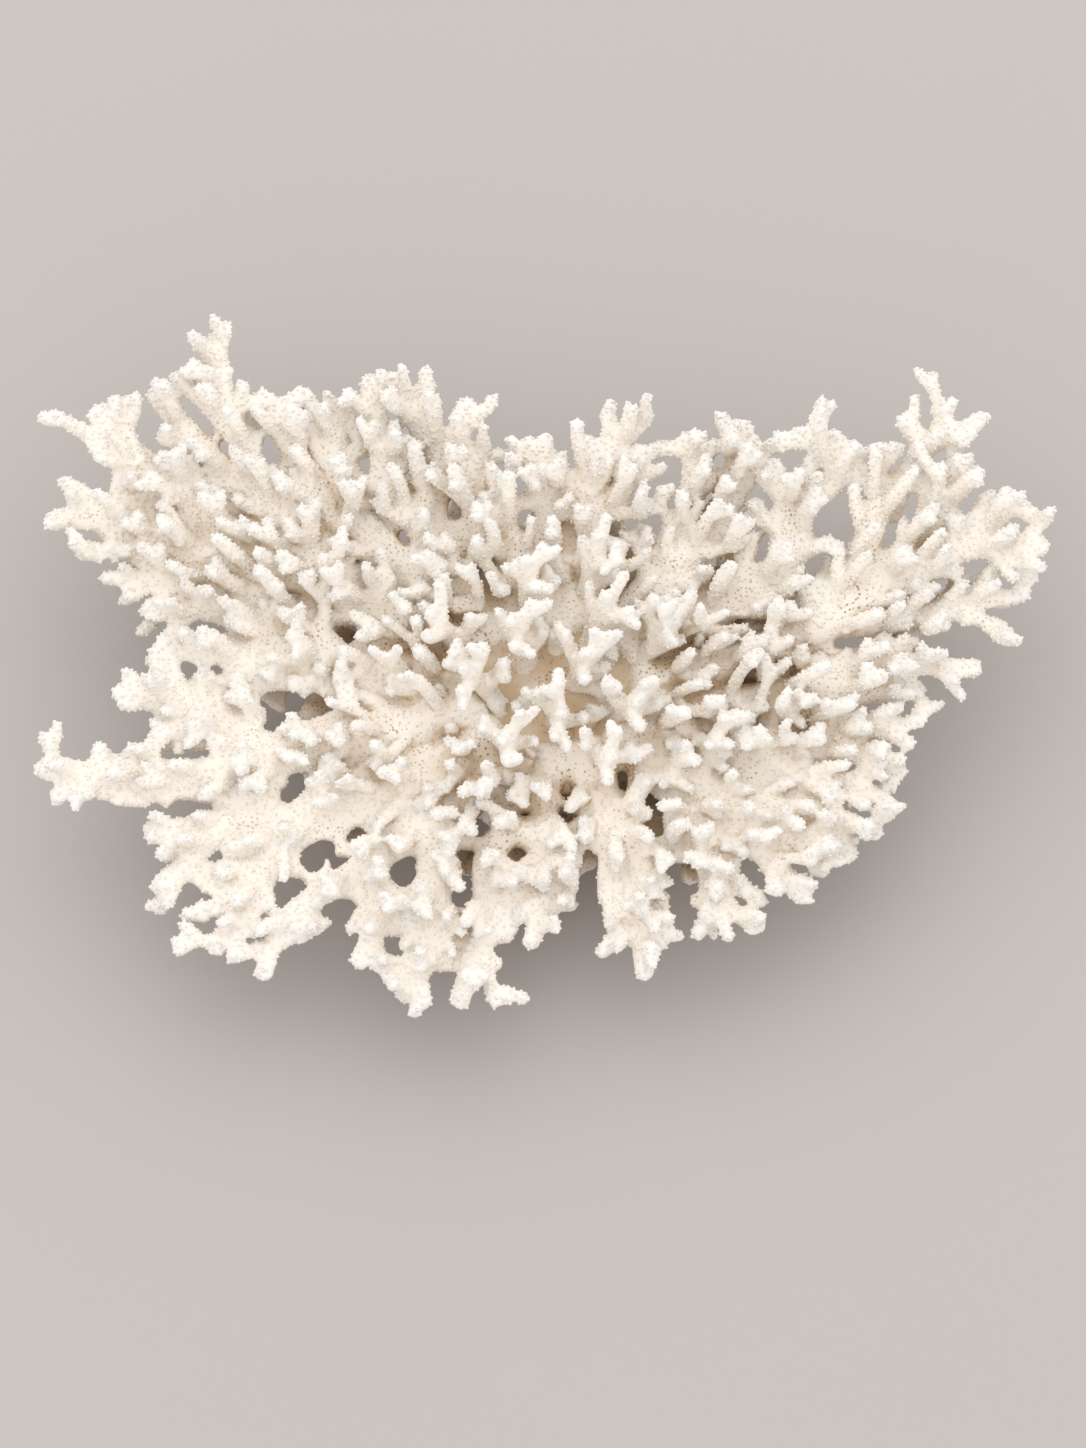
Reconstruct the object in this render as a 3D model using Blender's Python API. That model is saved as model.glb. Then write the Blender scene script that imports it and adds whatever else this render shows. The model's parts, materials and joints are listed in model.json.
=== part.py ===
# A bleached staghorn coral colony: a low table of limbs that spread from one stout stalk, cut flat
# underneath, with twigs along every limb and upright stems over the middle.
# Sizes in the tables are millimetres; the objects are built in metres, +Z up.
# The origin is the middle of the flat cut. The near side, at the bottom of the picture, is -Y.
import math
import random

import bpy
import bmesh
import numpy as np
from mathutils import Matrix, Vector, noise

MM = 0.001
UP = Vector((0, 0, 1))

# The table of limbs
VIEW_ELEVATION = 65.0    # degrees above the horizon from which the limbs' places below are seen
TABLE_ZERO = 8.0         # the tables' zero lies this far right of the stalk's axis
CROWN_HEIGHT = 44.0      # height of the limbs' axes over the stalk
OUTWARD_RISE = 0.10      # how much a limb climbs for each mm outwards
BACKWARD_RISE = 0.11     # how much higher the far side lies for each mm backwards
PATH_STEP = 5.0          # distance between the points of a limb's smooth path
LIMB_TAPER = 0.75        # power by which a branch thins towards its tip

# Stalk, which widens at the top into the palm that the trunk limbs leave
STALK_RINGS = (          # height, radius across, radius front to back
    (-8.0, 56.0, 44.0),
    (5.0, 53.0, 42.0),
    (17.0, 41.0, 33.0),
    (29.0, 39.0, 32.0),
    (38.0, 48.0, 38.0),
    (45.0, 51.0, 41.0),
    (51.0, 44.0, 35.0),
)
STALK_SIDES = 24
GROUND_CUT = 300.0       # side of the block that cuts the foot off flat
STALK_LUMPS = (          # how many lumps, and their height as a share of the radius
    (1.9, 0.14),
    (4.6, 0.10),
)
LUMP_HEIGHT = 70.0       # the lumps' length up the stalk
PALM_ACROSS = 51.0       # radii of the palm
PALM_ALONG = 41.0
TRUNK_START = 0.70       # share of the palm's radius where the trunk limbs begin, inside it
TRUNK_DROP = 1.5         # how far their axes lie under the table there

# Twigs
TWIG_SPACING = 13.0      # along a limb
TWIG_ROOT_RADIUS = 3.7
TWIG_TIP_RADIUS = 2.6
FIRST_TWIG = 12.0        # from the limb's root
LAST_TWIG = 8.0          # from the limb's tip
TWIG_BENDS = 4           # straight stretches in a twig
TWIG_TURNS = (20.0, 82.0, -25.0, -84.0, 8.0, 70.0, -40.0, -76.0)  # degrees round the limb, 0 on top
UPRIGHT_TURN = 50.0      # a twig nearer the top than this stands up, and any other reaches sideways
UPRIGHT_LENGTHS = (18.0, 28.0)
SIDE_LENGTHS = (13.0, 24.0)
NEAR_EDGE = -20.0        # in front of this line upright twigs are shorter
NEAR_SHARE = 0.75        # by this much
UPRIGHT_SHORTENS = 0.5   # share by which upright twigs get shorter towards the limb's tip
SIDE_SHORTENS = 0.4      # and those at the sides
TURN_SCATTER = 14.0      # degrees either way
SIZE_SCATTER = (0.9, 1.1)
SPACING_SCATTER = (0.8, 1.2)
WANDER = (0.22, 0.09)    # how far a twig's end strays, level and up
UPRIGHT_ROOT_FAN = 0.8   # how much an upright twig's root turns to the fan's direction
UPRIGHT_END_AHEAD = 0.25  # and its end to the limb's
SIDE_ROOT_AHEAD = 0.55   # how much a side twig's root turns to the limb's direction
SIDE_END = (0.6, 0.8, 0.45)  # its end: shares outwards, along the limb and to the fan's direction
SEEN_CLEAR = 2.0         # a twig is looked at for room from this far outside its limb
PRONG_BEND = 0.12        # how far a prong bows along its limb, as a share of its length
PRONG_RADII = (0.9, -0.2)  # more than the limb's tip, at its root and at its tip
PRONG_LIFT = 0.8         # share of the limb's lift at the end of a prong
TWIG_TRIES = (           # extra turn, share of the length: the first that has room is taken
    (0, 1.0),
    (34, 0.95),
    (-34, 0.95),
    (0, 0.7),
    (60, 0.8),
    (-60, 0.8),
    (0, 0.5),
)
TWIG_CLEARANCE = 1.6     # between a twig and another limb
PALM_CLEARANCE = 4.0     # between a twig and the palm
BALL_STEP = 3.0          # between the balls that stand for a branch when room is looked for
FAN_LEANS = (12.0, 46.0, 22.0)  # degrees outwards: in the middle, at the rim, and more at the near rim
FAN_REACH = 140.0        # distance from the middle at which the lean is full

# Solids
VOXEL = 1.3              # grid on which a limb and its twigs grow into one skin
TUBE_RESOLUTION = 2      # 8 sides
TRIANGLES_IN_ALL = 7150  # before the limbs are cut back from each other, which adds about a quarter
STALK_TRIANGLES = 400
FIT_GAP = 0.42           # between two nodes that meet

LIMB_COLOUR = (0.88, 0.83, 0.74, 1.0)
STEM_COLOUR = (0.90, 0.86, 0.78, 1.0)
STALK_COLOUR = (0.80, 0.71, 0.58, 1.0)
CORAL_ROUGHNESS = 0.9
SHARP_EDGE = 50.0        # degrees


class Limb:
    def __init__(self, name, parent, fork, points, root, tip, lift=0.0, prongs=()):
        self.name = name
        self.parent = parent      # the limb it forks from, or None for the stalk
        self.fork = fork          # share of the parent's length where it forks
        self.points = points      # (across, up) in the picture, from root to tip
        self.root = root          # radii
        self.tip = tip
        self.lift = lift          # height of its tip over the table
        self.prongs = prongs      # (share of the length, across, up): side branches to the rim


LIMBS = (
    Limb("north_west", None, 0, ((-58, 20), (-90, 40), (-113, 65), (-136, 104), (-145, 142)),
         8.0, 3.3, 8, ((0.72, -161, 126),)),
    Limb("north_west_comb", "north_west", 0.52, ((-133, 80), (-153, 101), (-170, 120)),
         5.5, 3.2, 4, ((0.7, -163, 119),)),
    Limb("north_west_fan", "north_west", 0.42, ((-128, 60), (-158, 76), (-182, 96), (-192, 113)),
         6.2, 3.2, 6, ((0.55, -204, 108), (0.75, -179, 117))),
    Limb("west_fan", "north_west", 0.34, ((-128, 48), (-154, 58), (-177, 66), (-208, 69)),
         6.2, 3.4, 0, ((0.62, -206, 84), (0.45, -198, 54))),
    Limb("west_spur", "west_north_west", 0.45, ((-110, 30), (-138, 42), (-163, 45), (-180, 37)),
         5.8, 3.0, -4, ((0.78, -189, 45), (0.6, -172, 31))),
    Limb("north_west_horn", "north_west", 0.40, ((-99, 70), (-108, 88), (-119, 105), (-124, 118)),
         6.0, 3.8, 8),
    Limb("north_north_west", None, 0, ((-42, 36), (-62, 64), (-76, 84), (-79, 108), (-82, 125)),
         7.5, 3.2, 10),
    Limb("north_antler", "north_north_west", 0.34, ((-78, 52), (-92, 75), (-96, 97), (-96, 116)),
         5.5, 3.2, 4, ((0.68, -109, 120), (0.5, -110, 106))),
    Limb("north_fork", "north_north_west", 0.50, ((-54, 84), (-54, 98), (-66, 113), (-74, 126)),
         5.2, 3.4, 6, ((0.55, -61, 123),)),
    Limb("north", None, 0, ((-24, 42), (-34, 62), (-41, 76), (-47, 99), (-43, 116)),
         7.5, 3.2, 10, ((0.6, -36, 100),)),
    Limb("north_finger", "north", 0.22, ((-20, 48), (-30, 74), (-34, 90)), 5.0, 3.0, 16),
    Limb("north_pair", "north_north_east", 0.25, ((-12, 56), (-12, 77), (-12, 102)),
         5.5, 3.2, 12, ((0.55, -19, 101),)),
    Limb("north_north_east", None, 0, ((2, 42), (4, 60), (3, 82), (14, 95), (30, 112)),
         7.5, 3.2, 10, ((0.62, 8, 98),)),
    Limb("north_spire", "north_north_east", 0.45, ((14, 72), (20, 85), (27, 97)),
         5.0, 3.2, 12, ((0.6, 33, 97),)),
    Limb("north_east", None, 0, ((27, 36), (37, 50), (43, 68), (48, 86), (45, 103)), 7.5, 3.4, 8),
    Limb("north_east_crest", "north_east", 0.42, ((52, 58), (61, 76), (66, 94), (68, 107)),
         5.8, 3.6, 8, ((0.6, 73, 100), (0.45, 78, 92))),
    Limb("east_north_east", None, 0,
         ((45, 27), (62, 37), (86, 53), (93, 72), (103, 82), (107, 92), (103, 103)),
         7.5, 3.1, 10, ((0.8, 117, 89), (0.88, 113, 97), (0.86, 90, 102))),
    Limb("east_crest", "east_north_east", 0.55, ((83, 68), (83, 80), (79, 91)), 4.8, 3.2, 12),
    Limb("north_east_far", "east", 0.46, ((112, 50), (124, 73), (136, 91), (138, 100), (131, 109)),
         6.0, 3.2, 10, ((0.40, 122, 98),)),
    Limb("north_east_hook", "north_east_far", 0.60, ((143, 99), (149, 105), (160, 102)), 4.0, 3.0, 10),
    Limb("east_blade", "east", 0.58, ((134, 58), (144, 70), (153, 79), (162, 88)), 5.0, 3.0, 10),
    Limb("east", None, 0, ((52, 8), (72, 15), (94, 26), (119, 38), (140, 50), (160, 56), (187, 57)),
         8.0, 3.2, 8, ((0.86, 181, 46), (0.78, 176, 75), (0.72, 167, 79))),
    Limb("east_low", "east", 0.42, ((118, 26), (145, 32), (162, 36), (178, 37)),
         6.0, 3.1, 2, ((0.72, 167, 49), (0.62, 174, 20))),
    Limb("east_south_east", None, 0, ((52, -5), (76, -2), (108, 5), (132, 9), (160, 8)), 7.2, 3.0, 4),
    Limb("east_rim", "east_south_east", 0.52, ((108, -4), (124, 0), (138, 0)), 4.8, 3.0, 0),
    Limb("south_east_rim", "east_south_east", 0.36, ((90, -12), (112, -15), (136, -13)),
         5.2, 3.0, 4, ((0.7, 133, -22),)),
    Limb("south_east", None, 0, ((46, -18), (62, -21), (80, -21), (102, -24), (130, -28)), 7.5, 3.0, 2),
    Limb("south_east_plate", "south_east", 0.50, ((84, -31), (104, -37), (124, -45)), 5.5, 3.2, 0),
    Limb("south_south_east", None, 0, ((34, -29), (48, -36), (65, -47), (85, -58), (104, -62)),
         7.8, 3.2, 2, ((0.78, 98, -73),)),
    Limb("south_east_point", "south_south_east", 0.50, ((80, -48), (100, -50), (120, -57)), 5.2, 3.0, 0),
    Limb("south_east_toes", "south_south_east", 0.58, ((72, -62), (82, -72), (90, -83)), 4.8, 3.0, 0),
    Limb("south_east_foot", "south_south_east", 0.36, ((50, -54), (54, -74), (60, -86), (73, -94)),
         5.6, 3.2, 0, ((0.40, 74, -84), (0.60, 48, -97))),
    Limb("south", None, 0, ((9, -38), (15, -50), (22, -62), (25, -80), (27, -113)),
         7.8, 3.2, 0, ((0.72, 34, -101), (0.60, 10, -104))),
    Limb("south_south_west", None, 0, ((-12, -42), (-12, -54), (-11, -68), (-12, -84), (-18, -101)),
         7.2, 3.2, 0),
    Limb("south_trident", "south_south_west", 0.42, ((-27, -57), (-35, -70), (-38, -92), (-46, -124)),
         6.0, 3.2, 0, ((0.55, -32, -122),)),
    Limb("south_west", None, 0,
         ((-34, -38), (-44, -48), (-57, -66), (-54, -90), (-60, -110), (-68, -121)),
         7.8, 3.2, 0, ((0.85, -75, -113),)),
    Limb("south_west_long", "south_west", 0.40,
         ((-66, -58), (-88, -73), (-110, -86), (-118, -98), (-123, -113)), 6.2, 3.2, 0),
    Limb("south_west_toes", "south_west_long", 0.34, ((-76, -86), (-82, -98), (-86, -108)),
         4.8, 3.0, 0, ((0.6, -77, -110),)),
    Limb("west_south_west", None, 0,
         ((-50, -27), (-66, -36), (-90, -44), (-114, -50), (-140, -52), (-169, -57)),
         7.8, 3.0, 0, ((0.86, -162, -66),)),
    Limb("south_west_foot", "west_south_west", 0.62, ((-122, -66), (-130, -82), (-142, -103)),
         5.6, 3.2, 0, ((0.45, -154, -89),)),
    Limb("south_west_claw", "west_south_west", 0.78, ((-150, -66), (-164, -77)),
         4.6, 3.0, 0, ((0.55, -161, -85),)),
    Limb("west", None, 0, ((-60, -12), (-82, -18), (-110, -25), (-150, -33), (-186, -34), (-212, -31)),
         8.0, 4.0, 6, ((0.84, -188, -23), (0.9, -205, -44))),
    Limb("west_twig", "west", 0.46, ((-134, -15), (-156, -8), (-182, -1)),
         5.4, 3.0, 4, ((0.62, -168, 16), (0.52, -160, 14))),
    Limb("west_north_west", None, 0, ((-62, 7), (-98, 12), (-126, 13), (-150, 14), (-164, 18)),
         7.5, 3.0, 4),
    Limb("west_arm", "west_north_west", 0.58, ((-122, 24), (-146, 31), (-169, 30)), 5.0, 3.0, 2),
)

# Upright stems over the stalk, wound out from its middle like the seeds of a sunflower
STEM_COUNT = 12
STEM_TURN = 137.5        # degrees from one stem to the next, and from one of its twigs to the next
STEM_DROP = 3.0          # how far the stems' feet lie under the table
STEM_SPREAD = 0.78       # share of the palm's radius that the stems' feet cover
STEM_HEIGHTS = (32.0, 42.0)
STEM_LEANS = (4.0, 36.0)  # degrees outwards, in the middle and at the edge
STEM_ROOT_RADIUS = 5.0
STEM_TIP_RADIUS = 2.8
STEM_TWIGS = 4
STEM_TWIG_LENGTHS = (14.0, 20.0)
STEM_TWIG_SHARES = (0.40, 0.90)  # shares of the stem's length between which its twigs begin
STEM_SCATTER = 20.0      # degrees either way
STEM_CLEAR = 1.0         # its twigs are looked at for room from this far outside it
STEM_RISE = 0.3          # how much a stem's end turns upright
STEM_TWIG_ROOT = 0.6     # how much a stem's twig turns along the stem at its root
STEM_TWIG_END = 0.45     # how much it still reaches outwards at its end


# Where things are
def table_height(x, y):
    return CROWN_HEIGHT + OUTWARD_RISE * math.hypot(x, y) + BACKWARD_RISE * y


def seen_at(across, up, lift=0.0):
    """The point lift above the table that shows at across, up in the picture."""
    rise, run = math.cos(math.radians(VIEW_ELEVATION)), math.sin(math.radians(VIEW_ELEVATION))
    x, y = across + TABLE_ZERO, up
    for _ in range(12):
        z = table_height(x, y) + lift
        y = (up - (z - CROWN_HEIGHT) * rise) / run
    return Vector((x, y, z))


def smooth_path(corners):
    """A Catmull-Rom curve through the corners, with a point about every PATH_STEP."""
    ends = [2 * corners[0] - corners[1], *corners, 2 * corners[-1] - corners[-2]]
    path = []
    for a, b, c, d in zip(ends, ends[1:], ends[2:], ends[3:]):
        count = max(1, round((c - b).length / PATH_STEP))
        for i in range(count):
            t = i / count
            path.append(0.5 * (2 * b + (c - a) * t + (2 * a - 5 * b + 4 * c - d) * t ** 2
                               + (3 * b - a - 3 * c + d) * t ** 3))
    return path + [corners[-1]]


def at_share(path, share):
    """The point and the direction at that share of a path's length."""
    lengths = [(b - a).length for a, b in zip(path, path[1:])]
    left = share * sum(lengths)
    for a, b, length in zip(path, path[1:], lengths):
        if left <= length:
            return a.lerp(b, left / length), (b - a).normalized()
        left -= length
    return path[-1], (path[-1] - path[-2]).normalized()


def path_length(path):
    return sum((b - a).length for a, b in zip(path, path[1:]))


def fan_direction(x, y):
    """Which way a twig on top grows: nearly straight up over the stalk, and leaning outwards near the rim."""
    reach = math.hypot(x, y)
    middle, rim, near_rim = FAN_LEANS
    near = max(0.0, -y / reach)
    lean = math.radians(middle + (rim - middle + near_rim * near) * min(1.0, reach / FAN_REACH))
    return Vector((x / reach, y / reach, 0)) * math.sin(lean) + UP * math.cos(lean)


# What grows: a branch is (path, radii)
def limb_path(limb, paths):
    if limb.parent:
        start, _ = at_share(paths[limb.parent], limb.fork)
    else:
        first = seen_at(*limb.points[0])
        bearing = math.atan2(first.y / PALM_ALONG, first.x / PALM_ACROSS)
        x = TRUNK_START * PALM_ACROSS * math.cos(bearing)
        y = TRUNK_START * PALM_ALONG * math.sin(bearing)
        start = Vector((x, y, table_height(x, y) - TRUNK_DROP))
    count = len(limb.points)
    corners = [start]
    for i, (across, up) in enumerate(limb.points):
        lift = limb.lift * ((i + 1) / count) ** 2
        corners.append(seen_at(across, up, lift))
    return smooth_path(corners)


def tapered(path, root, tip):
    last = len(path) - 1
    return path, [root + (tip - root) * (i / last) ** LIMB_TAPER for i in range(last + 1)]


def twig(start, first_way, last_way, length, root, tip):
    """A branch that sets out one way and bends into the other."""
    path = [start]
    for i in range(TWIG_BENDS):
        way = first_way.lerp(last_way, (i + 0.5) / TWIG_BENDS).normalized()
        path.append(path[-1] + way * (length / TWIG_BENDS))
    return tapered(path, root, tip)


def first_with_room(tries, name, skip, room):
    """The first of the tried branches that has room, as a list, which is empty if none has."""
    for branch in tries:
        if room.clear(branch, name, skip):
            room.add(branch, name)
            return [branch]
    return []


class Room:
    """The balls along every branch so far, so that a new twig can be kept clear of the other limbs."""

    def __init__(self):
        self.balls = np.empty((0, 4))
        self.owners = np.empty(0, dtype=object)

    def balls_of(self, branch, skip=0.0):
        path, radii = branch
        found = []
        along = 0.0
        for (a, b), (ra, rb) in zip(zip(path, path[1:]), zip(radii, radii[1:])):
            length = (b - a).length
            count = max(1, math.ceil(length / BALL_STEP))
            for i in range(count):
                t = (i + 0.5) / count
                if along + t * length >= skip:
                    found.append((*a.lerp(b, t), ra + (rb - ra) * t))
            along += length
        return np.array(found).reshape(-1, 4)

    def add(self, branch, owner):
        balls = self.balls_of(branch)
        self.balls = np.concatenate([self.balls, balls])
        self.owners = np.concatenate([self.owners, np.full(len(balls), owner, dtype=object)])

    def clear(self, branch, owner, skip):
        """Whether the branch, past its root, stays clear of every other owner's branches and of the palm."""
        mine = self.balls_of(branch, skip)
        x_share = mine[:, 0] / (PALM_ACROSS + PALM_CLEARANCE)
        y_share = mine[:, 1] / (PALM_ALONG + PALM_CLEARANCE)
        over_palm = x_share ** 2 + y_share ** 2 < 1
        if (over_palm & (mine[:, 2] < STALK_RINGS[-1][0] + PALM_CLEARANCE)).any():
            return False
        others = self.balls[self.owners != owner]
        apart = np.linalg.norm(mine[:, None, :3] - others[None, :, :3], axis=2)
        return bool((apart > mine[:, None, 3] + others[None, :, 3] + TWIG_CLEARANCE).all())


def twigs_along(limb, path, room):
    """Side twigs and upright twigs in turn along a limb, each where there is room."""
    rng = random.Random(limb.name)
    length = path_length(path)
    level, rise = WANDER
    end_out, end_ahead, end_fan = SIDE_END
    found = []
    at = FIRST_TWIG
    count = rng.randrange(len(TWIG_TURNS))
    while at < length - LAST_TWIG:
        share = at / length
        point, ahead = at_share(path, share)
        side = ahead.cross(UP).normalized()
        top = side.cross(ahead).normalized()
        turn = TWIG_TURNS[count % len(TWIG_TURNS)] + rng.uniform(-TURN_SCATTER, TURN_SCATTER)
        fan = fan_direction(point.x, point.y)
        wander = Vector([rng.uniform(-most, most) for most in (level, level, rise)])
        buried = limb.root + (limb.tip - limb.root) * share
        upright_length = rng.uniform(*UPRIGHT_LENGTHS) * (1.0 - UPRIGHT_SHORTENS * share ** 2)
        if point.y < NEAR_EDGE:
            upright_length *= NEAR_SHARE
        side_length = rng.uniform(*SIDE_LENGTHS) * (1.0 - SIDE_SHORTENS * share)
        scale = rng.uniform(*SIZE_SCATTER)
        tries = []
        for more, shorter in TWIG_TRIES:
            tried = math.radians(turn + more)
            outwards = top * math.cos(tried) + side * math.sin(tried)
            if abs(turn + more) < UPRIGHT_TURN:
                full = upright_length
                first = (outwards + fan * UPRIGHT_ROOT_FAN).normalized()
                last = (fan + ahead * UPRIGHT_END_AHEAD + wander).normalized()
            else:
                full = side_length
                first = (outwards + ahead * SIDE_ROOT_AHEAD).normalized()
                last = (outwards * end_out + ahead * end_ahead + fan * end_fan + wander).normalized()
            tries.append(twig(point, first, last, full * shorter + buried,
                              TWIG_ROOT_RADIUS * scale, TWIG_TIP_RADIUS * scale))
        found += first_with_room(tries, limb.name, buried + SEEN_CLEAR, room)
        at += TWIG_SPACING * rng.uniform(*SPACING_SCATTER)
        count += 1
    return found


def limb_prongs(limb, path):
    branches = []
    root, tip = PRONG_RADII
    for share, across, up in limb.prongs:
        start, ahead = at_share(path, share)
        end = seen_at(across, up, limb.lift * PRONG_LIFT)
        bend = start.lerp(end, 0.5) + ahead * (end - start).length * PRONG_BEND
        branches.append(tapered(smooth_path([start, bend, end]), limb.tip + root, limb.tip + tip))
    return branches


def stem_trunk(i):
    spread = math.sqrt((i + 0.4) / STEM_COUNT)
    bearing = math.radians(i * STEM_TURN)
    out = Vector((math.cos(bearing), math.sin(bearing), 0))
    x = PALM_ACROSS * STEM_SPREAD * spread * out.x
    y = PALM_ALONG * STEM_SPREAD * spread * out.y
    lean = math.radians(STEM_LEANS[0] + (STEM_LEANS[1] - STEM_LEANS[0]) * spread)
    way = out * math.sin(lean) + UP * math.cos(lean)
    low, high = STEM_HEIGHTS
    height = low + (high - low) * (0.5 + 0.5 * out.y)
    foot = Vector((x, y, table_height(x, y) - STEM_DROP))
    end_way = (way + UP * STEM_RISE).normalized()
    return twig(foot, way, end_way, height, STEM_ROOT_RADIUS, STEM_TIP_RADIUS)


def stem_twigs(name, path, room):
    """Twigs that wind up an upright stem."""
    rng = random.Random(name)
    low, high = STEM_TWIG_SHARES
    found = []
    for i in range(STEM_TWIGS):
        point, ahead = at_share(path, low + (high - low) * i / STEM_TWIGS)
        bearing = i * STEM_TURN + rng.uniform(-STEM_SCATTER, STEM_SCATTER)
        full = rng.uniform(*STEM_TWIG_LENGTHS)
        tries = []
        for more, shorter in TWIG_TRIES:
            tried = math.radians(bearing + more)
            around = Vector((math.cos(tried), math.sin(tried), 0))
            first = (around + ahead * STEM_TWIG_ROOT).normalized()
            last = (around * STEM_TWIG_END + ahead).normalized()
            tries.append(twig(point, first, last, full * shorter, TWIG_ROOT_RADIUS, TWIG_TIP_RADIUS))
        found += first_with_room(tries, name, STEM_ROOT_RADIUS + STEM_CLEAR, room)
    return found


def grow():
    """Every limb and stem as its branches, by name."""
    paths = {}
    waiting = list(LIMBS)
    while waiting:
        limb = next(x for x in waiting if x.parent is None or x.parent in paths)
        waiting.remove(limb)
        paths[limb.name] = limb_path(limb, paths)
    room = Room()
    growths = {}
    for limb in (*(x for x in LIMBS if x.parent is None), *(x for x in LIMBS if x.parent)):
        path = paths[limb.name]
        growths[limb.name] = [tapered(path, limb.root, limb.tip), *limb_prongs(limb, path)]
    stems = [f"stem_{i + 1}" for i in range(STEM_COUNT)]
    for i, name in enumerate(stems):
        growths[name] = [stem_trunk(i)]
    for name, branches in growths.items():
        for branch in branches:
            room.add(branch, name)
    for name in stems:
        growths[name] += stem_twigs(name, growths[name][0][0], room)
    for limb in LIMBS:
        growths[limb.name] += twigs_along(limb, paths[limb.name], room)
    return growths


# Solids
def coral_material(name, colour):
    material = bpy.data.materials.new(name + "_coral")
    material.use_nodes = True
    shader = material.node_tree.nodes["Principled BSDF"]
    shader.inputs["Base Color"].default_value = colour
    shader.inputs["Roughness"].default_value = CORAL_ROUGHNESS
    shader.inputs["Metallic"].default_value = 0.0
    material.diffuse_color = colour
    return material


def branch_curve(name, branches):
    """One bevelled curve, with a spline for each branch."""
    curve = bpy.data.curves.new(name, "CURVE")
    curve.dimensions = "3D"
    curve.bevel_depth = MM
    curve.bevel_resolution = TUBE_RESOLUTION
    curve.use_fill_caps = True
    for path, radii in branches:
        spline = curve.splines.new("POLY")
        spline.points.add(len(path) - 1)
        for point, place, radius in zip(spline.points, path, radii):
            point.co = (*(place * MM), 1.0)
            point.radius = radius
    obj = bpy.data.objects.new(name, curve)
    bpy.context.scene.collection.objects.link(obj)
    return obj


def baked(obj, name):
    """A mesh object of what obj's modifiers make, in its place."""
    graph = bpy.context.evaluated_depsgraph_get()
    graph.update()
    mesh = bpy.data.meshes.new_from_object(obj.evaluated_get(graph))
    bpy.data.objects.remove(obj)
    mesh.name = name
    made = bpy.data.objects.new(name, mesh)
    bpy.context.scene.collection.objects.link(made)
    return made


def grown_together(obj, triangles):
    """The overlapping branches fused into one skin, then thinned to that many triangles."""
    skin = obj.modifiers.new("fuse", "REMESH")
    skin.mode = "VOXEL"
    skin.voxel_size = VOXEL * MM
    name = obj.name
    obj = baked(obj, name)
    obj.data.calc_loop_triangles()
    thin = obj.modifiers.new("thin", "DECIMATE")
    thin.ratio = min(1.0, triangles / len(obj.data.loop_triangles))
    thin.use_collapse_triangulate = True
    return baked(obj, name)


def largest_body(obj):
    """Drops the pieces that a cut has parted from the main one."""
    mesh = bmesh.new()
    mesh.from_mesh(obj.data)
    left = set(mesh.verts)
    bodies = []
    while left:
        body, edge = set(), [left.pop()]
        while edge:
            vertex = edge.pop()
            body.add(vertex)
            for link in vertex.link_edges:
                other = link.other_vert(vertex)
                if other in left:
                    left.remove(other)
                    edge.append(other)
        bodies.append(body)
    bodies.sort(key=len)
    for body in bodies[:-1]:
        bmesh.ops.delete(mesh, geom=list(body), context="VERTS")
    mesh.to_mesh(obj.data)
    mesh.free()


def mesh_object(name, mesh):
    data = bpy.data.meshes.new(name)
    mesh.to_mesh(data)
    mesh.free()
    obj = bpy.data.objects.new(name, data)
    bpy.context.scene.collection.objects.link(obj)
    return obj


def hide_helper(obj):
    obj.hide_render = True
    obj.display_type = "WIRE"


def cutter_of(obj):
    """A hidden copy, FIT_GAP larger all over, that keeps the pieces that meet obj clear of it."""
    cutter = bpy.data.objects.new(obj.name + ".clearance", obj.data.copy())
    bpy.context.scene.collection.objects.link(cutter)
    swell = cutter.modifiers.new("clearance", "DISPLACE")
    swell.strength = FIT_GAP * MM
    swell.mid_level = 0.0
    cutter = baked(cutter, cutter.name)
    hide_helper(cutter)
    return cutter


def boxes_meet(a, b):
    """Whether the boxes around two meshes overlap."""
    boxes = []
    for obj in (a, b):
        places = np.empty(len(obj.data.vertices) * 3)
        obj.data.vertices.foreach_get("co", places)
        places = places.reshape(-1, 3)
        boxes.append((places.min(axis=0), places.max(axis=0)))
    return bool((boxes[0][0] <= boxes[1][1]).all() and (boxes[1][0] <= boxes[0][1]).all())


def kept_clear(obj, cutters):
    """Cuts obj back from every piece made before it."""
    name = obj.name
    for cutter in cutters:
        if not boxes_meet(obj, cutter):
            continue
        cut = obj.modifiers.new(cutter.name, "BOOLEAN")
        cut.operation = "DIFFERENCE"
        cut.solver = "MANIFOLD"
        cut.object = cutter
        obj = baked(obj, name)
        largest_body(obj)
    return obj


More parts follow.
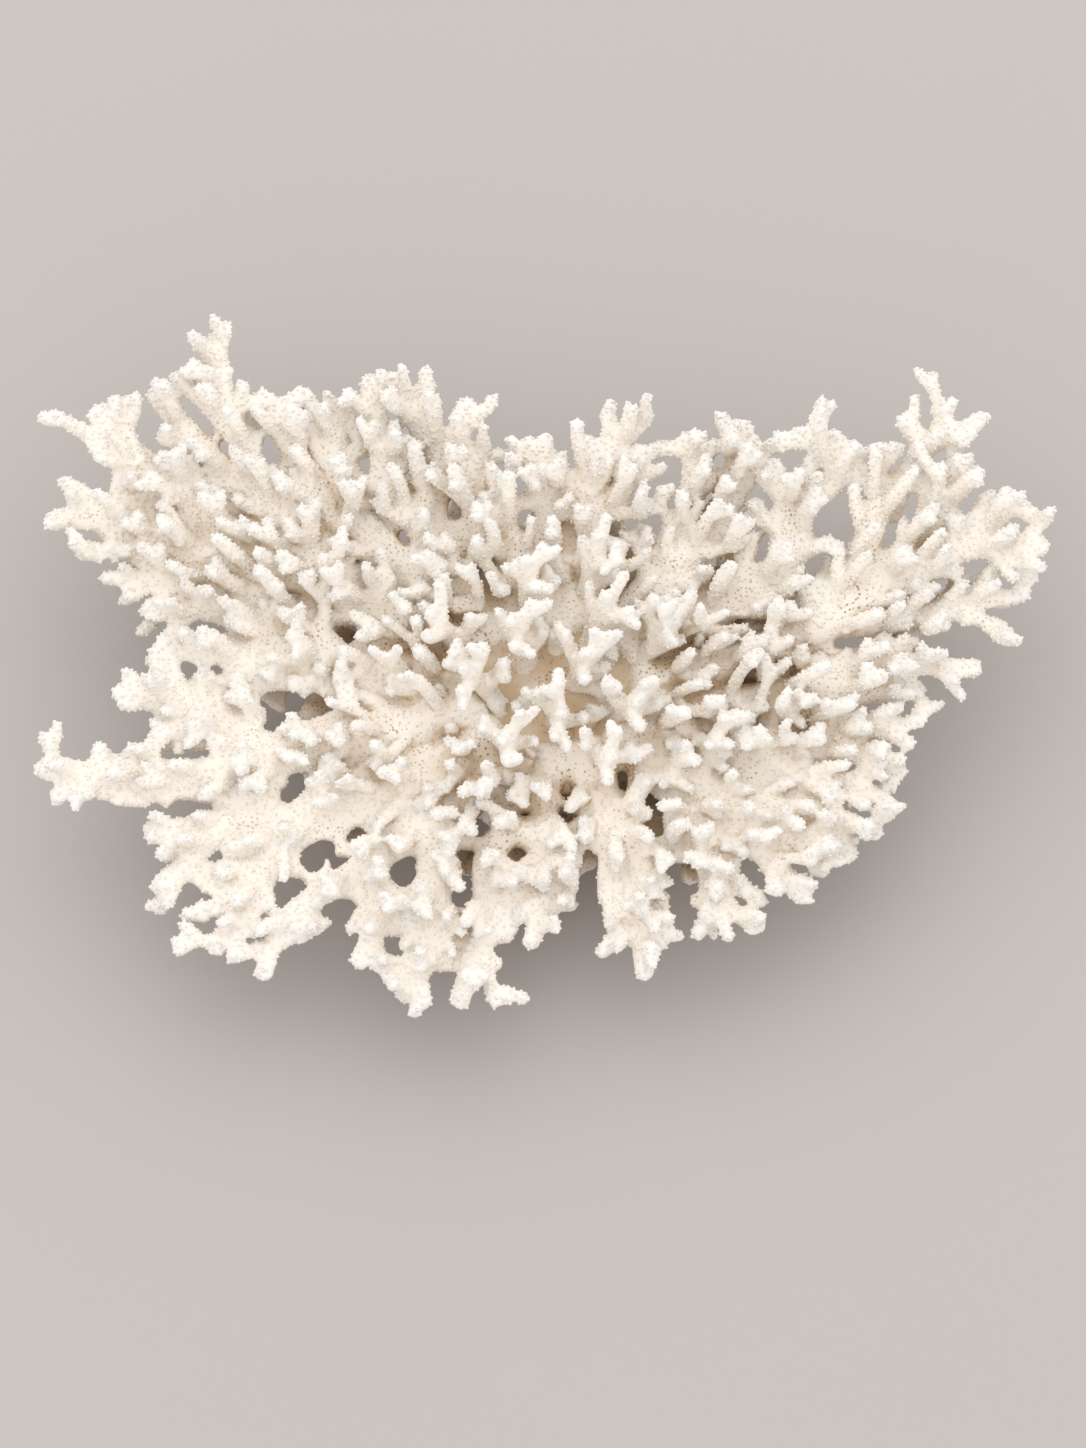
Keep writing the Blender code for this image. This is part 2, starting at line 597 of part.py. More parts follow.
def stalk():
    """The stout foot: a turned, lumpy stump, cut flat at z = 0."""
    mesh = bmesh.new()
    rings = []
    for height, across, along in STALK_RINGS:
        ring = []
        for i in range(STALK_SIDES):
            angle = 2 * math.pi * i / STALK_SIDES
            x, y = math.cos(angle), math.sin(angle)
            lump = 1.0
            for size, share in STALK_LUMPS:
                lump += share * noise.noise(Vector((x, y, height / LUMP_HEIGHT)) * size)
            y *= along * lump
            tilt = BACKWARD_RISE * y * max(0.0, height / CROWN_HEIGHT)
            ring.append(mesh.verts.new((x * across * lump * MM, y * MM, (height + tilt) * MM)))
        rings.append(ring)
    for low, high in zip(rings, rings[1:]):
        for i in range(STALK_SIDES):
            j = (i + 1) % STALK_SIDES
            mesh.faces.new((low[i], low[j], high[j], high[i]))
    mesh.faces.new(list(reversed(rings[0])))
    mesh.faces.new(rings[-1])
    bmesh.ops.recalc_face_normals(mesh, faces=mesh.faces)
    obj = grown_together(mesh_object("base", mesh), STALK_TRIANGLES)

    ground = bmesh.new()
    bmesh.ops.create_cube(ground, size=GROUND_CUT * MM)
    bmesh.ops.translate(ground, vec=(0, 0, -GROUND_CUT / 2 * MM), verts=ground.verts)
    ground_cut = mesh_object("ground_cut", ground)
    hide_helper(ground_cut)
    cut = obj.modifiers.new("flat_cut", "BOOLEAN")
    cut.operation = "DIFFERENCE"
    cut.object = ground_cut
    return baked(obj, "base")


def finished(obj, root, colour):
    """Gives the object its colour and shading, and sets it on its root."""
    obj.data.transform(Matrix.Translation(-root * MM))
    obj.location = root * MM
    obj.data.materials.clear()
    obj.data.materials.append(coral_material(obj.name, colour))
    obj.data.shade_smooth()
    obj.data.set_sharp_from_angle(angle=math.radians(SHARP_EDGE))


def main():
    for obj in list(bpy.data.objects):
        bpy.data.objects.remove(obj)

    growths = grow()
    lengths = {name: sum(path_length(path) for path, _ in branches) for name, branches in growths.items()}
    per_mm = (TRIANGLES_IN_ALL - STALK_TRIANGLES) / sum(lengths.values())

    base = stalk()
    cutters = [cutter_of(base)]
    finished(base, Vector((0, 0, 0)), STALK_COLOUR)
    for name, branches in growths.items():
        obj = grown_together(branch_curve(name, branches), round(lengths[name] * per_mm))
        cutter = cutter_of(obj)
        colour = STEM_COLOUR if name.startswith("stem") else LIMB_COLOUR
        finished(kept_clear(obj, cutters), branches[0][0][0], colour)
        cutters.append(cutter)
    print(len(growths), "limbs and stems,", sum(len(b) for b in growths.values()), "branches,",
          round(sum(lengths.values())), "mm in all")


main()
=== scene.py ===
import json
import math
import random
from collections import namedtuple

import bpy
import numpy as np
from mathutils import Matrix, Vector

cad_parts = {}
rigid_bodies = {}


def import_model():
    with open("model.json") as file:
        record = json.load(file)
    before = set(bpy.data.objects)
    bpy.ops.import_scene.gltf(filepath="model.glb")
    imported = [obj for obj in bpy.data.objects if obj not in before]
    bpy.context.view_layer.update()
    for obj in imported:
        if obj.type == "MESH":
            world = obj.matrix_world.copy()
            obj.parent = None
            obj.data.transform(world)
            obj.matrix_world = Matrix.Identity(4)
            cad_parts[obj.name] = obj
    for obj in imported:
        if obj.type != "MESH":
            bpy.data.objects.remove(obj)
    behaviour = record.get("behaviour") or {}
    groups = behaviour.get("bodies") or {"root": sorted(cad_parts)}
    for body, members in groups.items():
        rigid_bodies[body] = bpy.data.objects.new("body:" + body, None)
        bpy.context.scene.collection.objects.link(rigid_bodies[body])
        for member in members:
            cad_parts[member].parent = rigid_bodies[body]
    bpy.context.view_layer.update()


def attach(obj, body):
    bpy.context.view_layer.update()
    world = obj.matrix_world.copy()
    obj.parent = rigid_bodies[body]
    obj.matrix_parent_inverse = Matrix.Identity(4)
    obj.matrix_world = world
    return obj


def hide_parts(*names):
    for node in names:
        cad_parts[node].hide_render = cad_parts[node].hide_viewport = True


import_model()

# A bleached staghorn coral colony. The limbs' table below is the one that the solids grow from, in mm:
# across and up in the picture from the middle of the crown. Surfaces are worked out in mm as well,
# and only meshFrom turns them into metres.
mm = 0.001
upward = Vector((0, 0, 1))

table = dict(
    viewElevation=65.0,   # degrees above the horizon from which the table is seen
    zeroAcross=8.0,       # its zero lies this far right of the stalk's axis
    crownHeight=44.0,
    outwardRise=0.10,
    backwardRise=0.11,
    pathStep=5.0,
    taper=0.75,
    seenRounds=12,
)

palm = dict(   # the flat middle of the crown, over the stalk
    across=51.0, along=41.0, top=51.0, clearance=4.0, finerClearance=2.0, trunkStart=0.70, trunkDrop=1.5,
)

# name, parent, share of the parent where it forks, points, root radius, tip radius, lift of the tip, prongs
limbRows = (
    ("north_west", None, 0, ((-58, 20), (-90, 40), (-113, 65), (-136, 104), (-145, 142)),
     8.0, 3.3, 8, ((0.72, -161, 126),)),
    ("north_west_comb", "north_west", 0.52, ((-133, 80), (-153, 101), (-170, 120)),
     5.5, 3.2, 4, ((0.7, -163, 119),)),
    ("north_west_fan", "north_west", 0.42, ((-128, 60), (-158, 76), (-182, 96), (-192, 113)),
     6.2, 3.2, 6, ((0.55, -204, 108), (0.75, -179, 117))),
    ("west_fan", "north_west", 0.34, ((-128, 48), (-154, 58), (-177, 66), (-208, 69)),
     6.2, 3.4, 0, ((0.62, -206, 84), (0.45, -198, 54))),
    ("west_spur", "west_north_west", 0.45, ((-110, 30), (-138, 42), (-163, 45), (-180, 37)),
     5.8, 3.0, -4, ((0.78, -189, 45), (0.6, -172, 31))),
    ("north_west_horn", "north_west", 0.40, ((-99, 70), (-108, 88), (-119, 105), (-124, 118)),
     6.0, 3.8, 8, ()),
    ("north_north_west", None, 0, ((-42, 36), (-62, 64), (-76, 84), (-79, 108), (-82, 125)),
     7.5, 3.2, 10, ()),
    ("north_antler", "north_north_west", 0.34, ((-78, 52), (-92, 75), (-96, 97), (-96, 116)),
     5.5, 3.2, 4, ((0.68, -109, 120), (0.5, -110, 106))),
    ("north_fork", "north_north_west", 0.50, ((-54, 84), (-54, 98), (-66, 113), (-74, 126)),
     5.2, 3.4, 6, ((0.55, -61, 123),)),
    ("north", None, 0, ((-24, 42), (-34, 62), (-41, 76), (-47, 99), (-43, 116)),
     7.5, 3.2, 10, ((0.6, -36, 100),)),
    ("north_finger", "north", 0.22, ((-20, 48), (-30, 74), (-34, 90)), 5.0, 3.0, 16, ()),
    ("north_pair", "north_north_east", 0.25, ((-12, 56), (-12, 77), (-12, 102)),
     5.5, 3.2, 12, ((0.55, -19, 101),)),
    ("north_north_east", None, 0, ((2, 42), (4, 60), (3, 82), (14, 95), (30, 112)),
     7.5, 3.2, 10, ((0.62, 8, 98),)),
    ("north_spire", "north_north_east", 0.45, ((14, 72), (20, 85), (27, 97)), 5.0, 3.2, 12, ((0.6, 33, 97),)),
    ("north_east", None, 0, ((27, 36), (37, 50), (43, 68), (48, 86), (45, 103)), 7.5, 3.4, 8, ()),
    ("north_east_crest", "north_east", 0.42, ((52, 58), (61, 76), (66, 94), (68, 107)),
     5.8, 3.6, 8, ((0.6, 73, 100), (0.45, 78, 92))),
    ("east_north_east", None, 0, ((45, 27), (62, 37), (86, 53), (93, 72), (103, 82), (107, 92), (103, 103)),
     7.5, 3.1, 10, ((0.8, 117, 89), (0.88, 113, 97), (0.86, 90, 102))),
    ("east_crest", "east_north_east", 0.55, ((83, 68), (83, 80), (79, 91)), 4.8, 3.2, 12, ()),
    ("north_east_far", "east", 0.46, ((112, 50), (124, 73), (136, 91), (138, 100), (131, 109)),
     6.0, 3.2, 10, ((0.40, 122, 98),)),
    ("north_east_hook", "north_east_far", 0.60, ((143, 99), (149, 105), (160, 102)), 4.0, 3.0, 10, ()),
    ("east_blade", "east", 0.58, ((134, 58), (144, 70), (153, 79), (162, 88)), 5.0, 3.0, 10, ()),
    ("east", None, 0, ((52, 8), (72, 15), (94, 26), (119, 38), (140, 50), (160, 56), (187, 57)),
     8.0, 3.2, 8, ((0.86, 181, 46), (0.78, 176, 75), (0.72, 167, 79))),
    ("east_low", "east", 0.42, ((118, 26), (145, 32), (162, 36), (178, 37)),
     6.0, 3.1, 2, ((0.72, 167, 49), (0.62, 174, 20))),
    ("east_south_east", None, 0, ((52, -5), (76, -2), (108, 5), (132, 9), (160, 8)), 7.2, 3.0, 4, ()),
    ("east_rim", "east_south_east", 0.52, ((108, -4), (124, 0), (138, 0)), 4.8, 3.0, 0, ()),
    ("south_east_rim", "east_south_east", 0.36, ((90, -12), (112, -15), (136, -13)),
     5.2, 3.0, 4, ((0.7, 133, -22),)),
    ("south_east", None, 0, ((46, -18), (62, -21), (80, -21), (102, -24), (130, -28)), 7.5, 3.0, 2, ()),
    ("south_east_plate", "south_east", 0.50, ((84, -31), (104, -37), (124, -45)), 5.5, 3.2, 0, ()),
    ("south_south_east", None, 0, ((34, -29), (48, -36), (65, -47), (85, -58), (104, -62)),
     7.8, 3.2, 2, ((0.78, 98, -73),)),
    ("south_east_point", "south_south_east", 0.50, ((80, -48), (100, -50), (120, -57)), 5.2, 3.0, 0, ()),
    ("south_east_toes", "south_south_east", 0.58, ((72, -62), (82, -72), (90, -83)), 4.8, 3.0, 0, ()),
    ("south_east_foot", "south_south_east", 0.36, ((50, -54), (54, -74), (60, -86), (73, -94)),
     5.6, 3.2, 0, ((0.40, 74, -84), (0.60, 48, -97))),
    ("south", None, 0, ((9, -38), (15, -50), (22, -62), (25, -80), (27, -113)),
     7.8, 3.2, 0, ((0.72, 34, -101), (0.60, 10, -104))),
    ("south_south_west", None, 0, ((-12, -42), (-12, -54), (-11, -68), (-12, -84), (-18, -101)),
     7.2, 3.2, 0, ()),
    ("south_trident", "south_south_west", 0.42, ((-27, -57), (-35, -70), (-38, -92), (-46, -124)),
     6.0, 3.2, 0, ((0.55, -32, -122),)),
    ("south_west", None, 0, ((-34, -38), (-44, -48), (-57, -66), (-54, -90), (-60, -110), (-68, -121)),
     7.8, 3.2, 0, ((0.85, -75, -113),)),
    ("south_west_long", "south_west", 0.40, ((-66, -58), (-88, -73), (-110, -86), (-118, -98), (-123, -113)),
     6.2, 3.2, 0, ()),
    ("south_west_toes", "south_west_long", 0.34, ((-76, -86), (-82, -98), (-86, -108)),
     4.8, 3.0, 0, ((0.6, -77, -110),)),
    ("west_south_west", None, 0, ((-50, -27), (-66, -36), (-90, -44), (-114, -50), (-140, -52), (-169, -57)),
     7.8, 3.0, 0, ((0.86, -162, -66),)),
    ("south_west_foot", "west_south_west", 0.62, ((-122, -66), (-130, -82), (-142, -103)),
     5.6, 3.2, 0, ((0.45, -154, -89),)),
    ("south_west_claw", "west_south_west", 0.78, ((-150, -66), (-164, -77)),
     4.6, 3.0, 0, ((0.55, -161, -85),)),
    ("west", None, 0, ((-60, -12), (-82, -18), (-110, -25), (-150, -33), (-186, -34), (-212, -31)),
     8.0, 4.0, 6, ((0.84, -188, -23), (0.9, -205, -44))),
    ("west_twig", "west", 0.46, ((-134, -15), (-156, -8), (-182, -1)),
     5.4, 3.0, 4, ((0.62, -168, 16), (0.52, -160, 14))),
    ("west_north_west", None, 0, ((-62, 7), (-98, 12), (-126, 13), (-150, 14), (-164, 18)), 7.5, 3.0, 4, ()),
    ("west_arm", "west_north_west", 0.58, ((-122, 24), (-146, 31), (-169, 30)), 5.0, 3.0, 2, ()),
)

Limb = namedtuple("Limb", "name parent fork points root tip rise prongs")
limbs = {row[0]: Limb(*row) for row in limbRows}


# Places on the table of limbs
def tableHeight(x, y):   # the crown's height, rising evenly outwards and to the back
    return table["crownHeight"] + table["outwardRise"] * math.hypot(x, y) + table["backwardRise"] * y


def seenAt(across, high, lift=0.0):
    # the point lift above the table that shows at across, high: y from the height, in several rounds
    slope = math.radians(table["viewElevation"])
    x, y = across + table["zeroAcross"], high
    for _ in range(table["seenRounds"]):
        z = tableHeight(x, y) + lift
        y = (high - (z - table["crownHeight"]) * math.cos(slope)) / math.sin(slope)
    return Vector((x, y, z))


def smoothPath(corners):   # Catmull-Rom curve through the corners, a point about every pathStep
    ends = [2 * corners[0] - corners[1], *corners, 2 * corners[-1] - corners[-2]]
    path = []
    for a, b, c, d in zip(ends, ends[1:], ends[2:], ends[3:]):
        count = max(1, round((c - b).length / table["pathStep"]))
        for i in range(count):
            t = i / count
            path.append(0.5 * (2 * b + (c - a) * t + (2 * a - 5 * b + 4 * c - d) * t ** 2
                               + (3 * b - a - 3 * c + d) * t ** 3))
    return path + [corners[-1]]


def pathLength(path):   # the sum of its steps
    return sum((b - a).length for a, b in zip(path, path[1:]))


def atShare(path, share):   # point and direction at that share of the path's length
    left = share * pathLength(path)
    for a, b in zip(path, path[1:]):
        length = (b - a).length
        if left <= length:
            return a.lerp(b, left / length), (b - a).normalized()
        left -= length
    return path[-1], (path[-1] - path[-2]).normalized()


# Branches: each is (path, radii), in the order in which the solids grew, so that the twigs are the same
twigs = dict(
    spacing=13.0, rootRadius=3.7, tipRadius=2.6, first=12.0, last=8.0, bends=4,
    turns=(20.0, 82.0, -25.0, -84.0, 8.0, 70.0, -40.0, -76.0),   # degrees round the limb, 0 on top
    uprightTurn=50.0, uprightLengths=(18.0, 28.0), sideLengths=(13.0, 24.0),
    uprightShortens=0.5, sideShortens=0.4, nearEdge=-20.0, nearShare=0.75,
    turnScatter=14.0, sizeScatter=(0.9, 1.1), spacingScatter=(0.8, 1.2), wander=(0.22, 0.22, 0.09),
    uprightRootFan=0.8, uprightEndAhead=0.25, sideRootAhead=0.55, sideEnd=(0.6, 0.8, 0.45),
    tries=((0, 1.0), (34, 0.95), (-34, 0.95), (0, 0.7), (60, 0.8), (-60, 0.8), (0, 0.5)),
    clearance=1.6, seenClear=2.0, ballStep=3.0, nearlyUpright=0.2,
    fanLeans=(12.0, 46.0, 22.0), fanReach=140.0,
    prongBend=0.12, prongRadii=(0.9, -0.2), prongLift=0.8,
)

stems = dict(
    count=12, turn=137.5, drop=3.0, spread=0.78, heights=(32.0, 42.0), leans=(4.0, 36.0),
    rootRadius=5.0, tipRadius=2.8, twigs=4, twigLengths=(14.0, 20.0), twigShares=(0.40, 0.90),
    scatter=20.0, rise=0.3, clear=1.0, twigRoot=0.6, twigEnd=0.45, innermost=0.4,
)


def fanDirection(x, y):   # which way a twig on top grows: upright in the middle, leaning out at the rim
    reach = math.hypot(x, y)
    middle, rim, nearRim = twigs["fanLeans"]
    near = max(0.0, -y / reach)
    lean = math.radians(middle + (rim - middle + nearRim * near) * min(1.0, reach / twigs["fanReach"]))
    return Vector((x / reach, y / reach, 0)) * math.sin(lean) + upward * math.cos(lean)


def levelWay(degrees):   # the level direction at that bearing
    bearing = math.radians(degrees)
    return Vector((math.cos(bearing), math.sin(bearing), 0))


def waysAcross(ahead):   # sideways and upwards across a branch that runs ahead
    side = ahead.cross(upward)
    side = side.normalized() if side.length > twigs["nearlyUpright"] else Vector((1, 0, 0))
    return side, side.cross(ahead).normalized()


def roundFrom(top, side, degrees):   # the way that many degrees round the branch, 0 at its top
    turn = math.radians(degrees)
    return top * math.cos(turn) + side * math.sin(turn)


def randomWay(rng, most):   # each axis within its own limit
    return Vector([rng.uniform(-x, x) for x in most])


def limbPath(limb, paths):   # through its points, from its fork or, for a trunk, from inside the palm
    if limb.parent:
        start, _ = atShare(paths[limb.parent], limb.fork)
    else:
        first = seenAt(*limb.points[0])
        bearing = math.atan2(first.y / palm["along"], first.x / palm["across"])
        x = palm["trunkStart"] * palm["across"] * math.cos(bearing)
        y = palm["trunkStart"] * palm["along"] * math.sin(bearing)
        start = Vector((x, y, tableHeight(x, y) - palm["trunkDrop"]))
    corners = [start]
    for i, (across, high) in enumerate(limb.points):
        corners.append(seenAt(across, high, limb.rise * ((i + 1) / len(limb.points)) ** 2))
    return smoothPath(corners)


def tapered(path, root, tip):   # radius root + (tip - root) * share ** taper
    last = len(path) - 1
    return path, [root + (tip - root) * (i / last) ** table["taper"] for i in range(last + 1)]


def bendingTwig(start, firstWay, lastWay, length, root, tip):   # equal steps that turn from first to last
    path = [start]
    for i in range(twigs["bends"]):
        way = firstWay.lerp(lastWay, (i + 0.5) / twigs["bends"]).normalized()
        path.append(path[-1] + way * (length / twigs["bends"]))
    return tapered(path, root, tip)


def twigOf(shape, start, firstWay, lastWay, length, scale=1.0):   # a bending twig with the shape's radii
    return bendingTwig(start, firstWay.normalized(), lastWay.normalized(), length,
                       shape["rootRadius"] * scale, shape["tipRadius"] * scale)


def prongsOf(limb, path):   # each bends from its share of the limb to the place where it shows its tip
    wider, thinner = twigs["prongRadii"]
    found = []
    for share, across, high in limb.prongs:
        start, ahead = atShare(path, share)
        end = seenAt(across, high, limb.rise * twigs["prongLift"])
        bend = start.lerp(end, 0.5) + ahead * (end - start).length * twigs["prongBend"]
        found.append(tapered(smoothPath([start, bend, end]), limb.tip + wider, limb.tip + thinner))
    return found


def overPalm(balls, margin):   # whether any of the balls lies in the space over the palm
    wide, deep = palm["across"] + margin, palm["along"] + margin
    within = (balls[:, 0] / wide) ** 2 + (balls[:, 1] / deep) ** 2 < 1
    return bool((within & (balls[:, 2] < palm["top"] + margin)).any())


class Room:   # the balls along every branch so far: x, y, z, radius; the owning limb; the branch
    touching = 14.0   # a new twig's balls touch nothing further off than this

    def __init__(self, size=60000):
        self.balls = np.zeros((size, 4))
        self.owners = np.zeros(size, int)
        self.branches = np.zeros(size, int)
        self.names = {}
        self.used = 0
        self.made = 0

    def ballsOf(self, branch, skip=0.0):   # one about every ballStep, without those within skip of the root
        path, radii = branch
        found = []
        along = 0.0
        for a, b, ra, rb in zip(path, path[1:], radii, radii[1:]):
            length = (b - a).length
            count = max(1, math.ceil(length / twigs["ballStep"]))
            for i in range(count):
                t = (i + 0.5) / count
                if along + t * length >= skip:
                    found.append((*a.lerp(b, t), ra + (rb - ra) * t))
            along += length
        return np.array(found).reshape(-1, 4)

    def add(self, branch, owner):   # its balls, marked with the owner and the branch's number
        balls = self.ballsOf(branch)
        rows = slice(self.used, self.used + len(balls))
        self.balls[rows] = balls
        self.owners[rows] = self.names.setdefault(owner, len(self.names))
        self.branches[rows] = self.made
        self.used += len(balls)
        self.made += 1
        return self.made - 1

    def apart(self, mine, left, gap):   # centres further apart than both radii and the gap
        others = self.balls[:self.used][left]
        middle, half = mine[:, :3].mean(axis=0), np.ptp(mine[:, :3], axis=0).max() + self.touching
        others = others[(np.abs(others[:, :3] - middle) < half).all(axis=1)]
        distance = np.linalg.norm(mine[:, None, :3] - others[None, :, :3], axis=2)
        return bool((distance > mine[:, None, 3] + others[None, :, 3] + gap).all())

    def clear(self, branch, owner, skip):   # off the palm and apart from every other limb's balls
        mine = self.ballsOf(branch, skip)
        if overPalm(mine, palm["clearance"]):
            return False
        return self.apart(mine, self.owners[:self.used] != self.names[owner], twigs["clearance"])


def firstWithRoom(tries, owner, skip, room):   # takes the first of the tries that is clear of the others
    for branch in tries:
        if room.clear(branch, owner, skip):
            room.add(branch, owner)
            return [branch]
    return []


def placesAlong(rng, shape, first, last):   # distances along a branch, about one spacing apart
    at = first
    while at < last:
        yield at
        at += shape["spacing"] * rng.uniform(*shape["spacingScatter"])


def twigsAlong(limb, path, room):   # every spacing along the limb, upright on top and ahead at its sides
    rng = random.Random(limb.name)
    length = pathLength(path)
    endOut, endAhead, endFan = twigs["sideEnd"]
    found = []
    firstTurn = rng.randrange(len(twigs["turns"]))
    places = placesAlong(rng, twigs, twigs["first"], length - twigs["last"])
    for count, at in enumerate(places, firstTurn):
        share = at / length
        point, ahead = atShare(path, share)
        side, top = waysAcross(ahead)
        turn = twigs["turns"][count % len(twigs["turns"])]
        turn += rng.uniform(-twigs["turnScatter"], twigs["turnScatter"])
        fan = fanDirection(point.x, point.y)
        wander = randomWay(rng, twigs["wander"])
        buried = limb.root + (limb.tip - limb.root) * share
        uprightLength = rng.uniform(*twigs["uprightLengths"]) * (1.0 - twigs["uprightShortens"] * share ** 2)
        if point.y < twigs["nearEdge"]:
            uprightLength *= twigs["nearShare"]
        sideLength = rng.uniform(*twigs["sideLengths"]) * (1.0 - twigs["sideShortens"] * share)
        scale = rng.uniform(*twigs["sizeScatter"])
        tries = []
        for more, shorter in twigs["tries"]:
            outwards = roundFrom(top, side, turn + more)
            if abs(turn + more) < twigs["uprightTurn"]:
                full, first = uprightLength, outwards + fan * twigs["uprightRootFan"]
                last = fan + ahead * twigs["uprightEndAhead"] + wander
            else:
                full, first = sideLength, outwards + ahead * twigs["sideRootAhead"]
                last = outwards * endOut + ahead * endAhead + fan * endFan + wander
            tries.append(twigOf(twigs, point, first, last, full * shorter + buried, scale))
        found += firstWithRoom(tries, limb.name, buried + twigs["seenClear"], room)
    return found


def stemTrunk(i):   # stems stand on a spiral over the palm, leaning out more towards its edge
    spread = math.sqrt((i + stems["innermost"]) / stems["count"])
    out = levelWay(i * stems["turn"])
    x = palm["across"] * stems["spread"] * spread * out.x
    y = palm["along"] * stems["spread"] * spread * out.y
    least, most = stems["leans"]
    lean = math.radians(least + (most - least) * spread)
    way = out * math.sin(lean) + upward * math.cos(lean)
    low, high = stems["heights"]
    foot = Vector((x, y, tableHeight(x, y) - stems["drop"]))
    return bendingTwig(foot, way, (way + upward * stems["rise"]).normalized(),
                       low + (high - low) * (0.5 + 0.5 * out.y), stems["rootRadius"], stems["tipRadius"])


def stemTwigs(name, path, room):   # spaced evenly up the stem, each about a turn of the spiral from the last
    rng = random.Random(name)
    low, high = stems["twigShares"]
    found = []
    for i in range(stems["twigs"]):
        point, ahead = atShare(path, low + (high - low) * i / stems["twigs"])
        bearing = i * stems["turn"] + rng.uniform(-stems["scatter"], stems["scatter"])
        full = rng.uniform(*stems["twigLengths"])
        tries = []
        for more, shorter in twigs["tries"]:
            around = levelWay(bearing + more)
            first, last = around + ahead * stems["twigRoot"], around * stems["twigEnd"] + ahead
            tries.append(twigOf(twigs, point, first, last, full * shorter))
        found += firstWithRoom(tries, name, stems["rootRadius"] + stems["clear"], room)
    return found


def growLikeTheSolids():   # all limbs, prongs and stems stand before the first twig looks for room
    paths = {}
    waiting = list(limbs.values())
    while waiting:
        limb = next(x for x in waiting if x.parent is None or x.parent in paths)
        waiting.remove(limb)
        paths[limb.name] = limbPath(limb, paths)
    room = Room()
    growths = {}
    for limb in sorted(limbs.values(), key=lambda x: x.parent is not None):   # the trunks first
        path = paths[limb.name]
        growths[limb.name] = [tapered(path, limb.root, limb.tip), *prongsOf(limb, path)]
    stemNames = [f"stem_{i + 1}" for i in range(stems["count"])]
    for i, name in enumerate(stemNames):
        growths[name] = [stemTrunk(i)]
    for name, found in growths.items():
        for branch in found:
            room.add(branch, name)
    for name in stemNames:
        growths[name] += stemTwigs(name, growths[name][0][0], room)
    for limb in limbs.values():
        growths[limb.name] += twigsAlong(limb, paths[limb.name], room)
    return growths


growths = growLikeTheSolids()
print("grown like the solids:", len(growths), "limbs and stems,", sum(map(len, growths.values())), "branches")


# What the solids leave out: side limbs, sprouts, fine twigs, forks near the twigs' ends, bridges between
# neighbours, webs, and a lower storey under the crown. All but the ribs and pillars below keep off these
# gaps, seen through the crown: across, up, width and height in mm in the picture
gaps = (
    (-73, 56, 6, 5), (-132, 46, 11, 5), (-113, 42, 4, 6), (-146, 27, 14, 10), (-121, 25, 7, 4),
    (-92, 23, 7, 4), (-72, 32, 4, 3), (-145, 10, 11, 4), (-159, 7, 5, 16), (-56, 5, 11, 4),
    (-46, 4, 8, 8), (-118, -11, 5, 4), (-139, -12, 6, 3), (-124, -17, 5, 3), (-75, -18, 7, 6),
    (-63, -30, 6, 4), (-152, -28, 20, 6), (-110, -34, 6, 4), (-112, -42, 6, 4), (-100, -46, 5, 6),
    (-151, -48, 14, 5), (-123, -54, 5, 4), (-61, -53, 7, 8), (-86, -58, 6, 3), (-146, -64, 11, 6),
    (-91, -69, 8, 5), (-67, -70, 11, 13), (-104, -66, 5, 6), (-112, -81, 10, 12), (-132, -76, 3, 10),
    (-146, -83, 4, 3), (-92, -87, 15, 6), (-81, -98, 7, 6), (-123, -92, 3, 3), (-58, -97, 4, 3),
    (-42, -102, 4, 4), (-29, -102, 3, 3), (-44, -82, 9, 5), (-40, -73, 6, 6), (-42, -66, 5, 3),
    (-25, -64, 6, 6), (-18, -90, 4, 6), (-36, -53, 7, 10), (-32, -42, 5, 4), (-20, -53, 3, 4),
    (-2, -39, 6, 6), (9, -44, 3, 3), (17, -36, 4, 6), (-5, -50, 6, 3), (21, -65, 3, 12), (6, -86, 4, 4),
    (31, -54, 4, 6), (42, -75, 10, 11), (48, -46, 6, 5), (62, -44, 8, 6), (87, -53, 8, 3),
    (102, -32, 4, 4), (77, -26, 7, 4), (70, -70, 7, 9), (62, -81, 8, 6), (23, -6, 10, 6),
    (46, -14, 10, 5), (68, 2, 8, 4), (89, 4, 3, 4), (92, -18, 9, 3), (118, -4, 9, 7), (119, -19, 8, 4),
    (130, -18, 4, 6), (110, 22, 10, 6), (127, 22, 4, 5), (146, 20, 10, 4), (160, 22, 5, 4),
    (166, 30, 7, 5), (146, 40, 7, 6), (137, 35, 11, 5), (125, 45, 10, 4), (108, 44, 4, 3),
    (114, 40, 3, 4), (160, 64, 12, 5), (141, 59, 15, 6), (125, 63, 10, 6), (93, 53, 7, 8),
    (106, 76, 10, 11), (99, 67, 6, 5), (76, 76, 4, 12), (69, 48, 5, 7), (50, 64, 14, 6), (33, 41, 12, 5),
    (37, 74, 6, 7), (20, 78, 3, 10), (55, 17, 8, 10), (22, 8, 15, 4), (-148, 108, 5, 10),
    (-164, 98, 10, 6), (-189, 87, 5, 6), (-140, 93, 4, 10), (-123, 94, 4, 8), (-134, 84, 8, 7),
    (-151, 73, 8, 9), (-108, 98, 5, 8), (-100, 88, 7, 8), (-89, 100, 5, 6), (-81, 90, 6, 5),
    (-84, 71, 4, 3), (-87, 60, 4, 11), (-67, 63, 3, 6), (-77, 63, 3, 4), (-48, 74, 3, 6), (-16, 74, 3, 6),
    (-116, 58, 6, 5), (-31, 14, 10, 8), (-14, 56, 6, 8),
)

